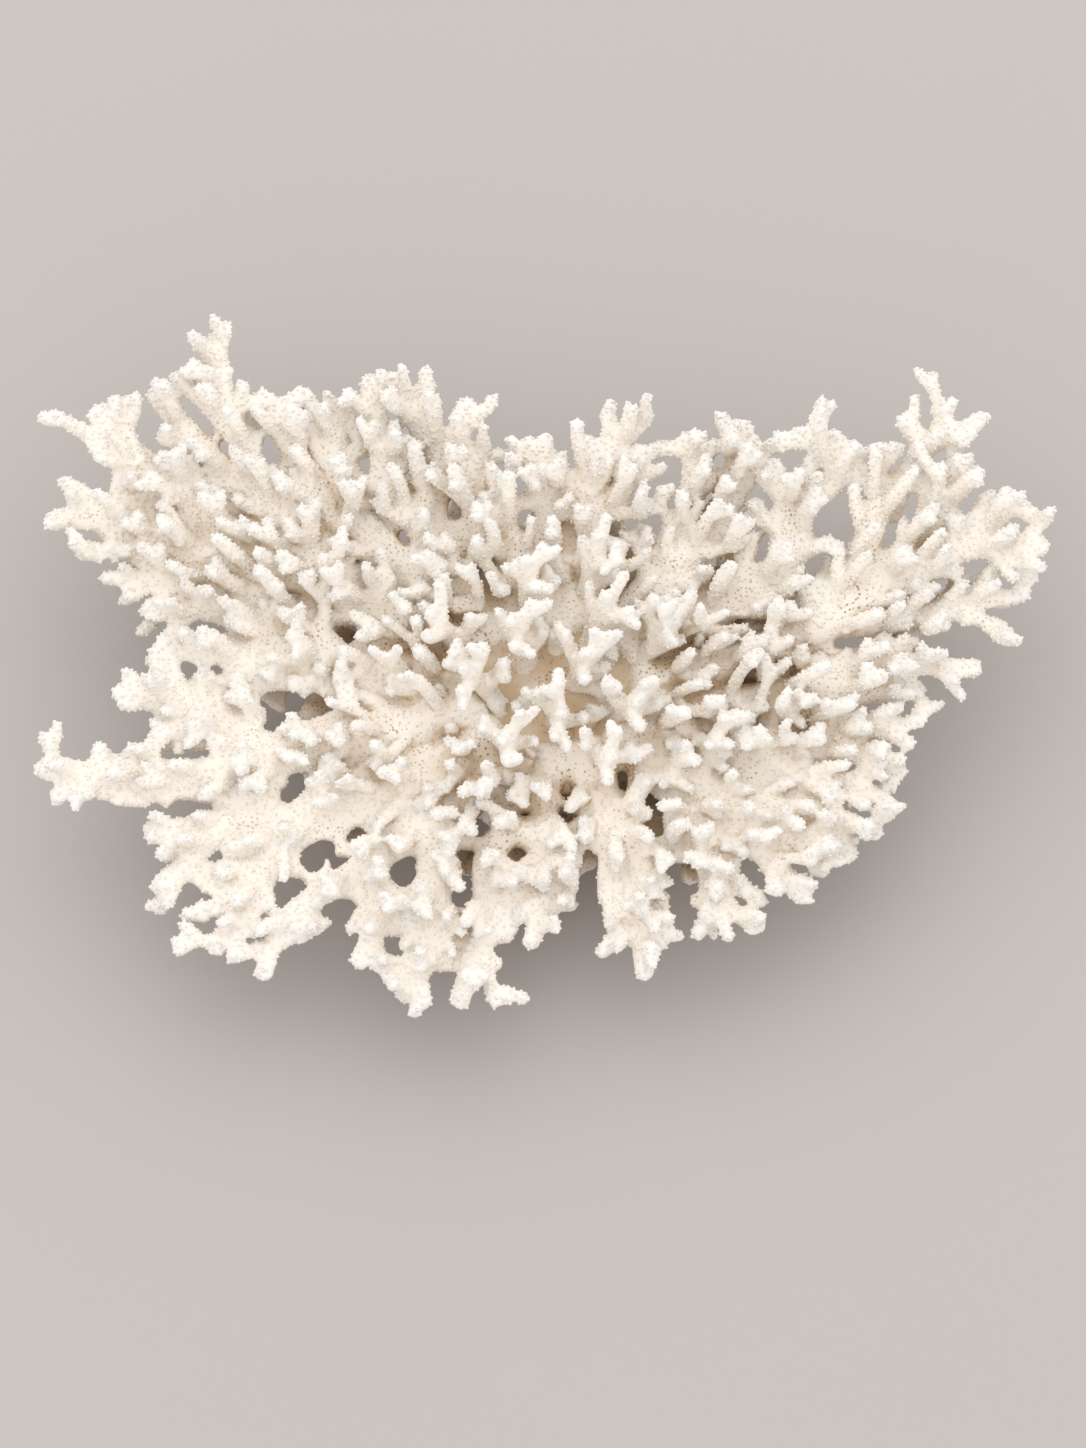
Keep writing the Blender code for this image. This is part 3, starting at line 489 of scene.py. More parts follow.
fine = dict(
    spacing=10.0, spacingScatter=(0.75, 1.25), lengths=(14.0, 26.0), rootRadius=3.0, tipRadius=2.25,
    turnMost=95.0, clearance=1.9, seenClear=1.5, first=8.0, last=3.0, shortens=0.42,
    wander=(0.25, 0.25, 0.25), back=0.40, root=0.4,
    end=(0.5, 0.5, 0.3, 0.5),   # end: outwards, ahead, with the fan, more so on top
    tries=((0, 1.0), (48, 0.95), (-48, 0.95), (0, 0.75), (96, 0.8), (-96, 0.8)),
    plateShare=0.14, plateLength=0.40, plateWithin=0.8,   # how many grow on the plates, and how much shorter
)

sideLimbs = dict(
    spacing=13.0, spacingScatter=(0.75, 1.25), first=10.0, last=0.75, lengths=(18.0, 36.0), shortens=0.75,
    turns=(45.0, 100.0), rootRadius=3.6, tipRadius=2.35, clearance=0.3, seenClear=5.0, wander=(0.2, 0.2, 0.2),
    rise=0.25, root=0.8, endOut=0.35, back=0.25,
    tries=((0, 1.0), (-25, 1.0), (0, 0.8), (-50, 0.9), (0, 0.6), (-25, 0.5)),
)

sprouts = dict(
    count=116, turn=137.5, firstTurn=40.0, spread=0.8, reach=1.75, foot=-1.0, lengths=(13.0, 24.0),
    tallBehind=(0.9, 0.2), lean=0.35, rootLean=0.5, back=0.60, wander=(0.25, 0.25, 0.25),
    rootRadius=3.2, tipRadius=2.4, clearance=1.1, seenClear=7.0, shorter=(1.0, 0.8, 0.6),
)

forks = dict(
    least=11.0, twoFrom=17.0, shares=(0.45, 0.85), scatter=(0.2, 0.8), lengths=(3.5, 7.5), rootRadius=2.5,
    tipRadius=2.2, out=0.95, rootAhead=0.35, endOut=0.45, ahead=0.75, rise=0.25, across=(0.3, 0.9, 0.2),
    clearance=1.5, seenClear=1.0, turn=137.5, chance=0.5,
    tries=((0, 1.0), (70, 1.0), (-70, 1.0), (140, 0.9)),
)

bridges = dict(
    lengths=(1.2, 11.0), apart=12.0, nearTable=9.0, mostRise=9.0, leastRadius=2.3, middleRadius=2.2,
    mostEndRadius=3.6, flare=0.35, sag=0.06, wide=1.7, thick=0.9,
)

underLimbs = dict(
    count=19, turn=137.5, starts=0.72, startHeight=27.0, reach=(72.0, 104.0), shallow=0.80,
    under=14.0, sag=1.0, rootRadius=7.5, tipRadius=3.6, bow=0.16,
    fork=0.5, forkApart=0.08, forkTurn=24.0, forkOut=0.75, forkLength=0.34, forkBend=3.0,
    forkRadii=(5.0, 3.2),
)

pillars = dict(   # between the two storeys
    count=34, reach=(48.0, 118.0), shares=(0.25, 0.75), shallow=1.3, inwards=(-8.0, -2.0), sunk=1.0,
    radius=3.4, flare=1.6,
)

limbShape = dict(wide=1.2, thick=0.78, rootFlare=0.45, flareLength=7.0, lump=0.20, lumpPeriod=13.0, sides=14)
twigShape = dict(wide=1.0, thick=1.0, rootFlare=0.40, flareLength=4.0, lump=0.13, lumpPeriod=6.5, sides=10,
                 taper=0.45)
bridgeShape = dict(limbShape, wide=bridges["wide"], thick=bridges["thick"], rootFlare=0.0, sides=12)
shapes = dict(limb=limbShape, under=limbShape, bridge=bridgeShape, prong=twigShape, twig=twigShape)

# the trunks that make one piece together
sectors = dict(
    south_west=("west_south_west", "south_west"), west=("west_north_west", "west"),
    north_west=("north_west",), south=("south_south_west", "south"),
    south_east=("south_south_east", "south_east", "east_south_east"), east=("east",),
    north=("north_north_west", "north", "north_north_east"), north_east=("north_east", "east_north_east"),
)

plates = dict(bearing=-115.0, strength=1.8, less=0.4)   # where the limbs are fused, seen from above
gapOverlap = 0.7   # share of a ball's radius that keeps it off a gap


def sectorOf(name, kind):   # the sector of a limb's trunk; the middle has the upright stems
    if kind == "under":
        return "stalk"
    if name not in limbs:
        return "middle"
    while limbs[name].parent:
        name = limbs[name].parent
    return next(sector for sector, trunks in sectors.items() if name in trunks)


def plateness(x, y):   # 1 where the crown is a fused plate, at the lower left, 0 where it is open fingers
    inPlate = 0.5 + 0.5 * np.cos(np.arctan2(y, x) - math.radians(plates["bearing"]))
    return np.clip(plates["strength"] * inPlate - plates["less"], 0.0, 1.0)


def coversGap(balls):   # whether any of these balls shows inside one of the gaps in the picture
    slope = math.radians(table["viewElevation"])
    across = balls[:, 0] - table["zeroAcross"]
    high = balls[:, 1] * math.sin(slope) + (balls[:, 2] - table["crownHeight"]) * math.cos(slope)
    middles = np.array(gaps, float)
    u = (across[:, None] - middles[:, 0]) / (middles[:, 2] / 2 + balls[:, 3:] * gapOverlap)
    v = (high[:, None] - middles[:, 1]) / (middles[:, 3] / 2 + balls[:, 3:] * gapOverlap)
    return bool((u * u + v * v < 1).any())


class Colony:   # every branch as a record, with the balls along it for finding room
    def __init__(self):
        self.room = Room()
        self.all = []

    def add(self, branch, limb, kind):   # to the room and to the list
        number = self.room.add(branch, limb)
        self.all.append(dict(path=branch[0], radii=branch[1], limb=limb, kind=kind, number=number,
                             sector=sectorOf(limb, kind), length=pathLength(branch[0])))

    def hasRoom(self, branch, parent, skip, gap, onPalm=False):   # off gaps and palm, apart from the rest
        mine = self.room.ballsOf(branch, skip)
        if not len(mine) or coversGap(mine):   # it would end inside its parent, or close a gap
            return False
        if not onPalm and overPalm(mine, palm["finerClearance"]):
            return False
        return self.room.apart(mine, self.room.branches[:self.room.used] != parent, gap)

    def firstThatFits(self, tries, parent, skip, gap, kind):   # adds the first of the tries with room
        for branch in tries:
            if self.hasRoom(branch, parent["number"], skip, gap):
                self.add(branch, parent["limb"], kind)
                return


def placeOn(parent, share):   # point and direction on a branch, and its radius there
    point, ahead = atShare(parent["path"], share)
    return point, ahead, np.interp(share, (0, 1), (parent["radii"][0], parent["radii"][-1]))


def addFineTwigs(colony):   # every spacing along limbs and prongs, at random turns round them
    for parent in list(colony.all):
        if parent["kind"] in ("twig", "under"):
            continue
        rng = random.Random(f"fine {parent['number']}")
        start = fine["first"] + (palm["clearance"] if parent["kind"] == "limb" else 0.0)
        for at in placesAlong(rng, fine, start, parent["length"] - fine["last"]):
            share = at / parent["length"]
            point, ahead, buried = placeOn(parent, share)
            side, top = waysAcross(ahead)
            fan = fanDirection(point.x, point.y)
            turn = rng.uniform(-fine["turnMost"], fine["turnMost"])
            full = rng.uniform(*fine["lengths"]) * (1.0 - fine["shortens"] * share)
            wander = randomWay(rng, fine["wander"])
            plate = plateness(point.x, point.y) * (share < fine["plateWithin"])
            here = rng.random() > plate * (1 - fine["plateShare"])
            full *= 1 - fine["plateLength"] * plate
            back = Vector((0, fine["back"] * (1 - plate), 0))
            endOut, endAhead, endFan, moreFan = fine["end"]
            tries = []
            for more, shorter in fine["tries"]:
                outwards = roundFrom(top, side, turn + more)
                onTop = max(0.0, math.cos(math.radians(turn + more)))
                first = outwards + ahead * fine["root"]
                last = outwards * endOut + ahead * endAhead + fan * (endFan + moreFan * onTop)
                tries.append(twigOf(fine, point, first, last + (wander + back), full * shorter + buried))
            if here:
                colony.firstThatFits(tries, parent, buried + fine["seenClear"], fine["clearance"], "twig")


def limbsOutside(colony):   # every limb apart from the stems in the middle
    return [x for x in colony.all if x["kind"] == "limb" and x["sector"] != "middle"]


def addSideLimbs(colony):   # long slender branches that run out beside the limbs and fill the gaps
    shape = sideLimbs
    for parent in limbsOutside(colony):
        rng = random.Random(f"side {parent['number']}")
        firstHand = rng.randrange(2)
        places = placesAlong(rng, shape, shape["first"], parent["length"] * shape["last"])
        for count, at in enumerate(places, firstHand):
            share = at / parent["length"]
            point, ahead, buried = placeOn(parent, share)
            side, top = waysAcross(ahead)
            turn = rng.uniform(*shape["turns"])
            full = rng.uniform(*shape["lengths"]) * (1.0 - shape["shortens"] * share)
            wander = randomWay(rng, shape["wander"])
            wander += Vector((0, shape["back"] * (1 - plateness(point.x, point.y)), shape["rise"]))
            tries = []
            for hand in ((-1) ** count, -(-1) ** count):
                for more, shorter in shape["tries"]:
                    outwards = roundFrom(top, side, (turn + more) * hand)
                    first = outwards + ahead * shape["root"]
                    last = outwards * shape["endOut"] + ahead + wander
                    tries.append(twigOf(shape, point, first, last, full * shorter + buried))
            colony.firstThatFits(tries, parent, buried + shape["seenClear"], shape["clearance"], "prong")


def addSprouts(colony):   # knobs and short stems over the palm and the limbs' roots, the tallest at the back
    shape = sprouts
    for i in range(shape["count"]):
        rng = random.Random(f"sprout {i}")
        spread = math.sqrt((i + 0.5) / shape["count"]) * shape["reach"]
        out = levelWay(i * shape["turn"] + shape["firstTurn"])
        x = palm["across"] * shape["spread"] * spread * out.x
        y = palm["along"] * shape["spread"] * spread * out.y
        foot = Vector((x, y, tableHeight(x, y) + shape["foot"]))
        wander = randomWay(rng, shape["wander"])
        first = upward + out * shape["lean"] * shape["rootLean"] + wander
        last = upward + out * shape["lean"] * spread + Vector((0, shape["back"], 0)) + wander
        least, more = shape["tallBehind"]
        full = rng.uniform(*shape["lengths"]) * (least + more * out.y)
        for shorter in shape["shorter"]:
            sprout = twigOf(shape, foot, first, last, full * shorter)
            if colony.hasRoom(sprout, -1, shape["seenClear"], shape["clearance"], True):
                colony.add(sprout, "stem_1", "twig")
                break


def addForks(colony):   # by chance, one or two short tips near the end of each longer twig and prong
    shape = forks
    low, high = shape["shares"]
    for parent in list(colony.all):
        if parent["kind"] in ("limb", "under") or parent["length"] < shape["least"]:
            continue
        rng = random.Random(f"forks {parent['number']}")
        count = 1 + (parent["length"] > shape["twoFrom"])
        start = rng.uniform(0, 360)
        for i in range(count):
            share = low + (high - low) * (i + rng.uniform(*shape["scatter"])) / count
            point, ahead, radius = placeOn(parent, share)
            across = ahead.cross(Vector(shape["across"])).normalized()
            over = across.cross(ahead)
            full = rng.uniform(*shape["lengths"]) + radius
            tries = []
            for more, shorter in shape["tries"]:
                around = roundFrom(across, over, start + i * shape["turn"] + more)
                first = around * shape["out"] + ahead * shape["rootAhead"]
                last = around * shape["endOut"] + ahead * shape["ahead"] + upward * shape["rise"]
                tries.append(twigOf(shape, point, first, last, full * shorter))
            if rng.random() < shape["chance"]:
                colony.firstThatFits(tries, parent, radius + shape["seenClear"], shape["clearance"], "twig")


def addUnderLimbs(colony):   # ribs of the lower storey, spreading from the stalk under the crown
    shape = underLimbs
    for i in range(shape["count"]):
        bearing = math.radians(i * shape["turn"])
        rng = random.Random(f"under {i}")
        reach = rng.uniform(*shape["reach"])
        out = Vector((math.cos(bearing), math.sin(bearing) * shape["shallow"], 0))
        start = Vector((out.x * palm["across"] * shape["starts"], out.y * palm["along"], 0))
        start.z = shape["startHeight"]
        bend = math.radians(rng.uniform(-shape["forkTurn"], shape["forkTurn"]))
        side = Vector((-out.y, out.x, 0)) * math.sin(bend)
        end = (out + side) * reach
        middle = start.lerp(end, 0.5) - side * reach * shape["bow"]
        end.z = tableHeight(end.x, end.y) - shape["under"]
        middle.z = tableHeight(middle.x, middle.y) - shape["under"] - shape["sag"]
        path = smoothPath([start, middle, end])
        colony.add(tapered(path, shape["rootRadius"], shape["tipRadius"]), "stem_1", "under")
        for turn in (-1, 1):
            point, ahead = atShare(path, shape["fork"] + shape["forkApart"] * turn)
            away = Vector((-ahead.y, ahead.x, 0)) * turn
            far = point + (ahead + away * shape["forkOut"]) * (reach * shape["forkLength"])
            far.z = tableHeight(far.x, far.y) - shape["under"] + shape["sag"]
            half = point.lerp(far, 0.5) + ahead * shape["forkBend"]
            colony.add(tapered(smoothPath([point, half, far]), *shape["forkRadii"]), "stem_1", "under")


strutSteps = (0, 0.25, 0.5, 0.75, 1)


def addPillars(colony):   # short struts from the limbs down to the lower storey, wider at both ends
    shape = pillars
    rng = random.Random("pillars")
    trunks = limbsOutside(colony)
    least, most = shape["reach"]
    for i in range(shape["count"]):
        limb = trunks[i % len(trunks)]
        point, ahead = atShare(limb["path"], rng.uniform(*shape["shares"]))
        if not least < math.hypot(point.x, point.y * shape["shallow"]) < most:
            continue
        foot = point + ahead * rng.uniform(*shape["inwards"])
        foot.z = tableHeight(foot.x, foot.y) - underLimbs["under"] - shape["sunk"]
        path = [point.lerp(foot, t) for t in strutSteps]
        radii = [shape["radius"] * (1 + (shape["flare"] - 1) * (2 * t - 1) ** 2) for t in strutSteps]
        colony.add((path, radii), limb["limb"], "bridge")


def addBridges(colony):   # short struts between neighbours, the narrowest gaps first
    shape = bridges
    balls = colony.room.balls[:colony.room.used]
    branch = colony.room.branches[:colony.room.used]
    isUnder = np.array([x["kind"] == "under" for x in colony.all])[branch]
    level = np.array([z - tableHeight(x, y) for x, y, z in balls[:, :3]])
    rows = (np.abs(level) < shape["nearTable"]) & ~isUnder & (balls[:, 3] > shape["leastRadius"])
    rows = np.flatnonzero(rows)
    near, far = shape["lengths"]
    pairs = []
    for i in rows:
        others = rows[rows > i]
        distance = np.linalg.norm(balls[others, :3] - balls[i, :3], axis=1)
        gap = distance - balls[others, 3] - balls[i, 3]
        fits = (gap > near) & (gap < far) & (branch[others] != branch[i])
        fits &= np.abs(balls[others, 2] - balls[i, 2]) < shape["mostRise"]
        pairs += [(gap[k], i, others[k]) for k in np.flatnonzero(fits)]
    pairs.sort()
    middles = np.empty((0, 3))
    for gap, i, j in pairs:
        a, b = balls[i], balls[j]
        middle = (a[:3] + b[:3]) / 2
        if len(middles) and np.linalg.norm(middles - middle, axis=1).min() < shape["apart"]:
            continue
        if coversGap(np.array([(*middle, shape["middleRadius"])])):
            continue
        middles = np.concatenate([middles, [middle]])
        first, last = (min(x[3], shape["mostEndRadius"]) for x in (a, b))
        sag = Vector((0, 0, -shape["sag"] * gap))
        start, end = Vector(a[:3]), Vector(b[:3])
        path = [start.lerp(end, t) + sag * (1 - (2 * t - 1) ** 2) for t in strutSteps]
        waist = min(shape["middleRadius"], first, last)
        beside = [waist + (x - waist) * shape["flare"] for x in (first, last)]
        radii = [first, beside[0], waist, beside[1], last]
        colony.add((path, radii), colony.all[branch[i]]["limb"], "bridge")


def growColony():   # the solids' branches first, then each finer kind in turn
    colony = Colony()
    for name, found in growths.items():
        fixed = 1 + (len(limbs[name].prongs) if name in limbs else 0)
        for i, branch in enumerate(found):
            colony.add(branch, name, "limb" if i == 0 else "prong" if i < fixed else "twig")
    for step in (addUnderLimbs, addSideLimbs, addSprouts, addFineTwigs, addForks, addBridges, addPillars):
        step(colony)
    return colony


colony = growColony()
kinds = ("limb", "prong", "twig", "under", "bridge")
print("grown finer:", {kind: sum(x["kind"] == kind for x in colony.all) for kind in kinds})


# Surfaces
def softNoise(points, period, seed=0):
    # value noise in -1..1: random values at the corners of cubes of side period, blended smoothly between
    q = np.asarray(points) / period + 37.7 * (seed + 1)
    cell = np.floor(q).astype(np.int64)
    t = q - cell
    t = t * t * (3 - 2 * t)
    total = np.zeros(len(q))
    for corner in np.ndindex(*(2,) * q.shape[1]):
        c = (cell + corner) * np.array((73856093, 19349663, 83492791)[:q.shape[1]])
        h = np.bitwise_xor.reduce(c, axis=1)
        h = (h ^ (h >> 13)) * 1274126177
        value = ((h >> 3) & 0xffff) / 32767.5 - 1.0
        total += value * np.where(corner, t, 1 - t).prod(axis=1)
    return total


def framesAlong(path):   # tangent, sideways and upright directions at each point, with no twist
    p = np.array([tuple(x) for x in path])
    ahead = np.gradient(p, axis=0)
    ahead /= np.linalg.norm(ahead, axis=1)[:, None]
    side = np.cross(ahead[0], (0, 0, 1))
    if np.linalg.norm(side) < twigs["nearlyUpright"]:
        side = np.array((1.0, 0, 0))
    sides = np.empty_like(ahead)
    for i, a in enumerate(ahead):
        side = side - a * (side @ a)
        side = side / np.linalg.norm(side)
        sides[i] = side
    return p, ahead, sides, np.cross(sides, ahead)


caps = dict(angles=(0, 30, 60, 84), rootFlat=0.6, tipBack=0.5)   # degrees, shares of the radius


def branchSurface(branch, shape):
    # an ellipse carried along the path: centre(t) + side * r(t) * wide * cos a + top * r(t) * thick * sin a,
    # with r flared at the root and lumpy along, and a round cap at each end where r follows a quarter circle,
    # the root's flattened and the tip's drawn back
    p, ahead, side, top = framesAlong(branch["path"])
    r = np.array(branch["radii"], float)
    if branch["kind"] in ("twig", "prong"):   # fingers keep nearly one thickness
        r = r[-1] + (r - r[-1]) * shape["taper"]
    along = np.concatenate([[0], np.cumsum(np.linalg.norm(np.diff(p, axis=0), axis=1))])
    r = r * (1 + shape["rootFlare"] * np.exp(-(along / shape["flareLength"]) ** 2))
    r = r * (1 + shape["lump"] * softNoise(p, shape["lumpPeriod"], 3))
    quarter = np.radians(caps["angles"])
    p = np.concatenate([p[:1] - ahead[:1] * r[0] * caps["rootFlat"] * np.sin(quarter[::-1, None]), p[1:-1],
                        p[-1:] + ahead[-1:] * r[-1] * (np.sin(quarter[:, None]) - caps["tipBack"])])
    r = np.concatenate([r[0] * np.cos(quarter[::-1]), r[1:-1], r[-1] * np.cos(quarter)])
    count, last = len(quarter), len(ahead) - 1
    pick = np.concatenate([[0] * count, np.arange(1, last), [last] * count])
    angle = np.arange(shape["sides"]) * 2 * np.pi / shape["sides"]
    ring = (side[pick][:, None] * (np.cos(angle) * shape["wide"])[None, :, None]
            + top[pick][:, None] * (np.sin(angle) * shape["thick"])[None, :, None])
    return gridSurface(p[:, None] + ring * r[:, None, None])


def gridSurface(grid):   # rows of rings, closed round each ring and by a flat fan at both ends
    rows, sides = grid.shape[:2]
    index = np.arange(rows * sides).reshape(rows, sides)
    turned = np.roll(index, -1, axis=1)
    a, b, c, d = index[:-1], turned[:-1], turned[1:], index[1:]
    faces = [np.stack([a, b, c], -1).reshape(-1, 3), np.stack([a, c, d], -1).reshape(-1, 3)]
    first, last = rows * sides, rows * sides + 1
    faces.append(np.stack([np.full(sides, first), turned[0], index[0]], -1))
    faces.append(np.stack([np.full(sides, last), index[-1], turned[-1]], -1))
    points = np.concatenate([grid.reshape(-1, 3), grid[:1].mean(axis=1), grid[-1:].mean(axis=1)])
    return points, np.concatenate(faces)


def joined(parts):   # several surfaces as one, each one's faces counted on from the last one's points
    points, faces, offset = [], [], 0
    for p, f in parts:
        points.append(p)
        faces.append(f + offset)
        offset += len(p)
    return np.concatenate(points), np.concatenate(faces)


# Webs between the limbs, and the lower storey: slabs over the cells of a level grid
webs = dict(
    cell=2.0, corners=((-225.0, -155.0), (215.0, 165.0)), spread=9.5, threshold=1.05, fullAbove=2.0,
    tipFree=(22.0, 13.0), tipFade=22.0, sink=(4.0, 1.6), thick=(3.2, 6.0), besideGap=1.4,
    openStrength=0.30, plateStrength=1.15, unevenness=0.35, unevenPeriod=22.0, shared=0.6,
)

lowerStorey = dict(
    across=112.0, along=74.0, under=19.0, thick=5.0, ripple=2.6, ripplePeriod=13.0, lobes=(15.0, 0.3),
    corner=(-150.0, -100.0), nodes=(151, 101), holes=(5, 4), holeSpacing=24.0, holeScatter=0.35,
    # darker: painted shade, extra tan on the stalk piece and lower storey that lie in the crown's shadow
    holeWide=(4.0, 7.5), darker=0.35,
)


def slabOver(mask, top, bottom, low, cell):   # a closed slab over the marked cells, with walls at the edge
    n, m = mask.shape
    i, j = np.meshgrid(np.arange(n + 1), np.arange(m + 1), indexing="ij")
    flat = np.stack([low[0] + i * cell, low[1] + j * cell], -1).reshape(-1, 2)
    upper = np.concatenate([flat, top.reshape(-1, 1)], axis=1)
    lower = np.concatenate([flat, bottom.reshape(-1, 1)], axis=1)
    index = np.arange((n + 1) * (m + 1)).reshape(n + 1, m + 1)
    count = index.size
    a, b, c, d = (x[mask] for x in (index[:-1, :-1], index[1:, :-1], index[1:, 1:], index[:-1, 1:]))
    faces = [np.stack([a, b, c], -1), np.stack([a, c, d], -1)]
    faces += [np.stack([c, b, a], -1) + count, np.stack([d, c, a], -1) + count]
    padded = np.pad(mask, 1)
    for (di, dj), p, q in (((0, -1), a, b), ((1, 0), b, c), ((0, 1), c, d), ((-1, 0), d, a)):
        bare = ~padded[1 + di:1 + di + n, 1 + dj:1 + dj + m][mask]
        p, q = p[bare], q[bare]
        faces += [np.stack([p, p + count, q + count], -1), np.stack([p, q + count, q], -1)]
    used, faces = np.unique(np.concatenate(faces), return_inverse=True)
    return np.concatenate([upper, lower])[used], faces.reshape(-1, 3)


def levelGrid(low, size):   # x and y at the grid's corners, and the same as a list of points
    xs, ys = (low[k] + np.arange(size[k]) * webs["cell"] for k in (0, 1))
    x, y = np.meshgrid(xs, ys, indexing="ij")
    return x, y, np.stack([x, y], -1).reshape(-1, 2)


def webFields():
    # each sector's sum of bells exp(-d^2 / spread^2) round its limbs' balls, faded out towards the tips,
    # and the limbs' mean height weighted by those bells
    low, high = np.array(webs["corners"])
    gridX, gridY, spots = levelGrid(low, ((high - low) / webs["cell"]).astype(int) + 1)
    weight = {sector: np.zeros(gridX.shape) for sector in (*sectors, "middle")}
    height = np.zeros(gridX.shape)
    openFree, plateFree = webs["tipFree"]
    room = colony.room
    for branch in colony.all:
        if branch["kind"] not in ("limb", "prong"):
            continue
        for x, y, z, _ in room.balls[:room.used][room.branches[:room.used] == branch["number"]]:
            away = math.dist((x, y, z), branch["path"][-1])
            free = away - openFree + (openFree - plateFree) * plateness(x, y)
            share = min(1.0, max(0.0, free / webs["tipFade"]))
            besides = np.exp(-(gridX[:, 0] - x) ** 2 / webs["spread"] ** 2)[:, None]
            bell = share * besides * np.exp(-(gridY[0] - y) ** 2 / webs["spread"] ** 2)[None]
            weight[branch["sector"]] += bell
            height += bell * z
    total = sum(weight.values())
    return low, gridX, gridY, spots, weight, total, height / np.maximum(total, 1e-6)


def wholeCells(marked):   # the cells whose four corners are all marked
    return marked[:-1, :-1] & marked[1:, :-1] & marked[:-1, 1:] & marked[1:, 1:]


def makeWebs():   # slabs where bells * strength passes the threshold, thicker where it is far above it
    low, x, y, spots, weight, total, height = webFields()
    plate = plateness(x, y)
    strength = webs["openStrength"] + (webs["plateStrength"] - webs["openStrength"]) * plate
    uneven = softNoise(spots, webs["unevenPeriod"], 5).reshape(x.shape)
    strength = strength * (1 + webs["unevenness"] * uneven)
    field = total * strength
    for across, high, wide, tall in gaps:
        centre = seenAt(across, high)
        tall = tall / math.sin(math.radians(table["viewElevation"]))
        halfWide, halfTall = wide / 2 + webs["besideGap"], tall / 2 + webs["besideGap"]
        inside = ((x - centre.x) / halfWide) ** 2 + ((y - centre.y) / halfTall) ** 2
        field = np.where(inside < 1, 0, field)
    covered = wholeCells(field > webs["threshold"])
    thin, full = webs["thick"]
    thick = thin + (full - thin) * np.clip((field - webs["threshold"]) / webs["fullAbove"], 0, 1)
    middle = height - webs["sink"][0] + (webs["sink"][0] - webs["sink"][1]) * plate
    most = np.maximum.reduce(list(weight.values()))
    slabs = {}
    for sector in sectors:
        mine = (weight[sector] > webs["shared"] * most)[:-1, :-1] & covered
        if mine.any():
            slabs[sector] = slabOver(mine, middle + thick / 2, middle - thick / 2, low, webs["cell"])
    return slabs


def makeLowerStorey():   # a rippled oval slab under the table, with a lobed rim and oval holes
    shape = lowerStorey
    low = np.array(shape["corner"])
    x, y, spots = levelGrid(low, shape["nodes"])
    period, depth = shape["lobes"]
    uneven = softNoise(spots, period, 6).reshape(x.shape)
    inside = (x / shape["across"]) ** 2 + (y / shape["along"]) ** 2 < 1 + depth * uneven
    step, scatter = shape["holeSpacing"], shape["holeScatter"]
    columns, rows = shape["holes"]
    for i in range(-columns, columns + 1):
        for j in range(-rows, rows + 1):
            rng = random.Random(f"hole {i} {j}")
            cx = (i + rng.uniform(-scatter, scatter)) * step
            cy = (j + 0.5 * (i % 2) + rng.uniform(-scatter, scatter)) * step
            wide, tall = rng.uniform(*shape["holeWide"]), rng.uniform(*shape["holeWide"])
            inside &= ((x - cx) / wide) ** 2 + ((y - cy) / tall) ** 2 > 1
    level = table["crownHeight"] + table["outwardRise"] * np.hypot(x, y) + table["backwardRise"] * y
    level = level - shape["under"]
    level = level + shape["ripple"] * softNoise(spots, shape["ripplePeriod"], 7).reshape(x.shape)
    half = shape["thick"] / 2
    return slabOver(wholeCells(inside), level + half, level - half, low, webs["cell"])


def meshFrom(name, points, faces, **values):   # mm in, metres out
    mesh = bpy.data.meshes.new(name)
    mesh.vertices.add(len(points))
    mesh.vertices.foreach_set("co", (points * mm).astype(np.float32).ravel())
    mesh.loops.add(faces.size)
    mesh.loops.foreach_set("vertex_index", faces.astype(np.int32).ravel())
    mesh.polygons.add(len(faces))
    mesh.polygons.foreach_set("loop_start", np.arange(0, faces.size, 3, dtype=np.int32))
    mesh.update(calc_edges=True)
    for key, value in values.items():
        mesh.attributes.new(key, "FLOAT", "POINT").data.foreach_set("value", value.astype(np.float32))
    mesh.shade_smooth()
    return mesh


skin = dict(
    voxel=1.39, voxelBelow=1.9, smoothRounds=6, inAndOut=(0.55, -0.57), fillRounds=18, normalsEvery=5,
    fillPlate=1.0, fillTwig=0.2, tipFill=(5.0, 12.0), swell=0.12, foot=1.0,
    lumps=((12.0, 0.5), (4.6, 0.26), (2.4, 0.10)),   # period and height
)


def placed(name, data):   # a new object in the scene
    thing = bpy.data.objects.new(name, data)
    bpy.context.scene.collection.objects.link(thing)
    return thing


def fetched(items, key, width, kind):   # a mesh's list as an array with that many columns
    values = np.empty(len(items) * width, kind)
    items.foreach_get(key, values)
    return values.reshape(-1, width)


def fusedSkin(name, points, faces, voxel):   # one skin around everything that overlaps
    source = placed(name + ".tubes", meshFrom(name + ".tubes", points, faces))
    fuse = source.modifiers.new("fuse", "REMESH")
    fuse.mode = "VOXEL"
    fuse.voxel_size = voxel * mm
    graph = bpy.context.evaluated_depsgraph_get()
    mesh = bpy.data.meshes.new_from_object(source.evaluated_get(graph))
    bpy.data.objects.remove(source)
    mesh.calc_loop_triangles()
    p = fetched(mesh.vertices, "co", 3, np.float32).astype(float) / mm
    f = fetched(mesh.loop_triangles, "vertices", 3, np.int32)
    e = fetched(mesh.edges, "vertices", 2, np.int32)
    bpy.data.meshes.remove(mesh)
    return p, f, e


def normalsOf(p, f):   # the sum of the faces' cross products at each point, made one long
    cross = np.cross(p[f[:, 1]] - p[f[:, 0]], p[f[:, 2]] - p[f[:, 0]])
    sums = [sum(np.bincount(f[:, k], cross[:, axis], len(p)) for k in range(3)) for axis in range(3)]
    n = np.stack(sums, -1)
    return n / np.maximum(np.linalg.norm(n, axis=1), 1e-12)[:, None]


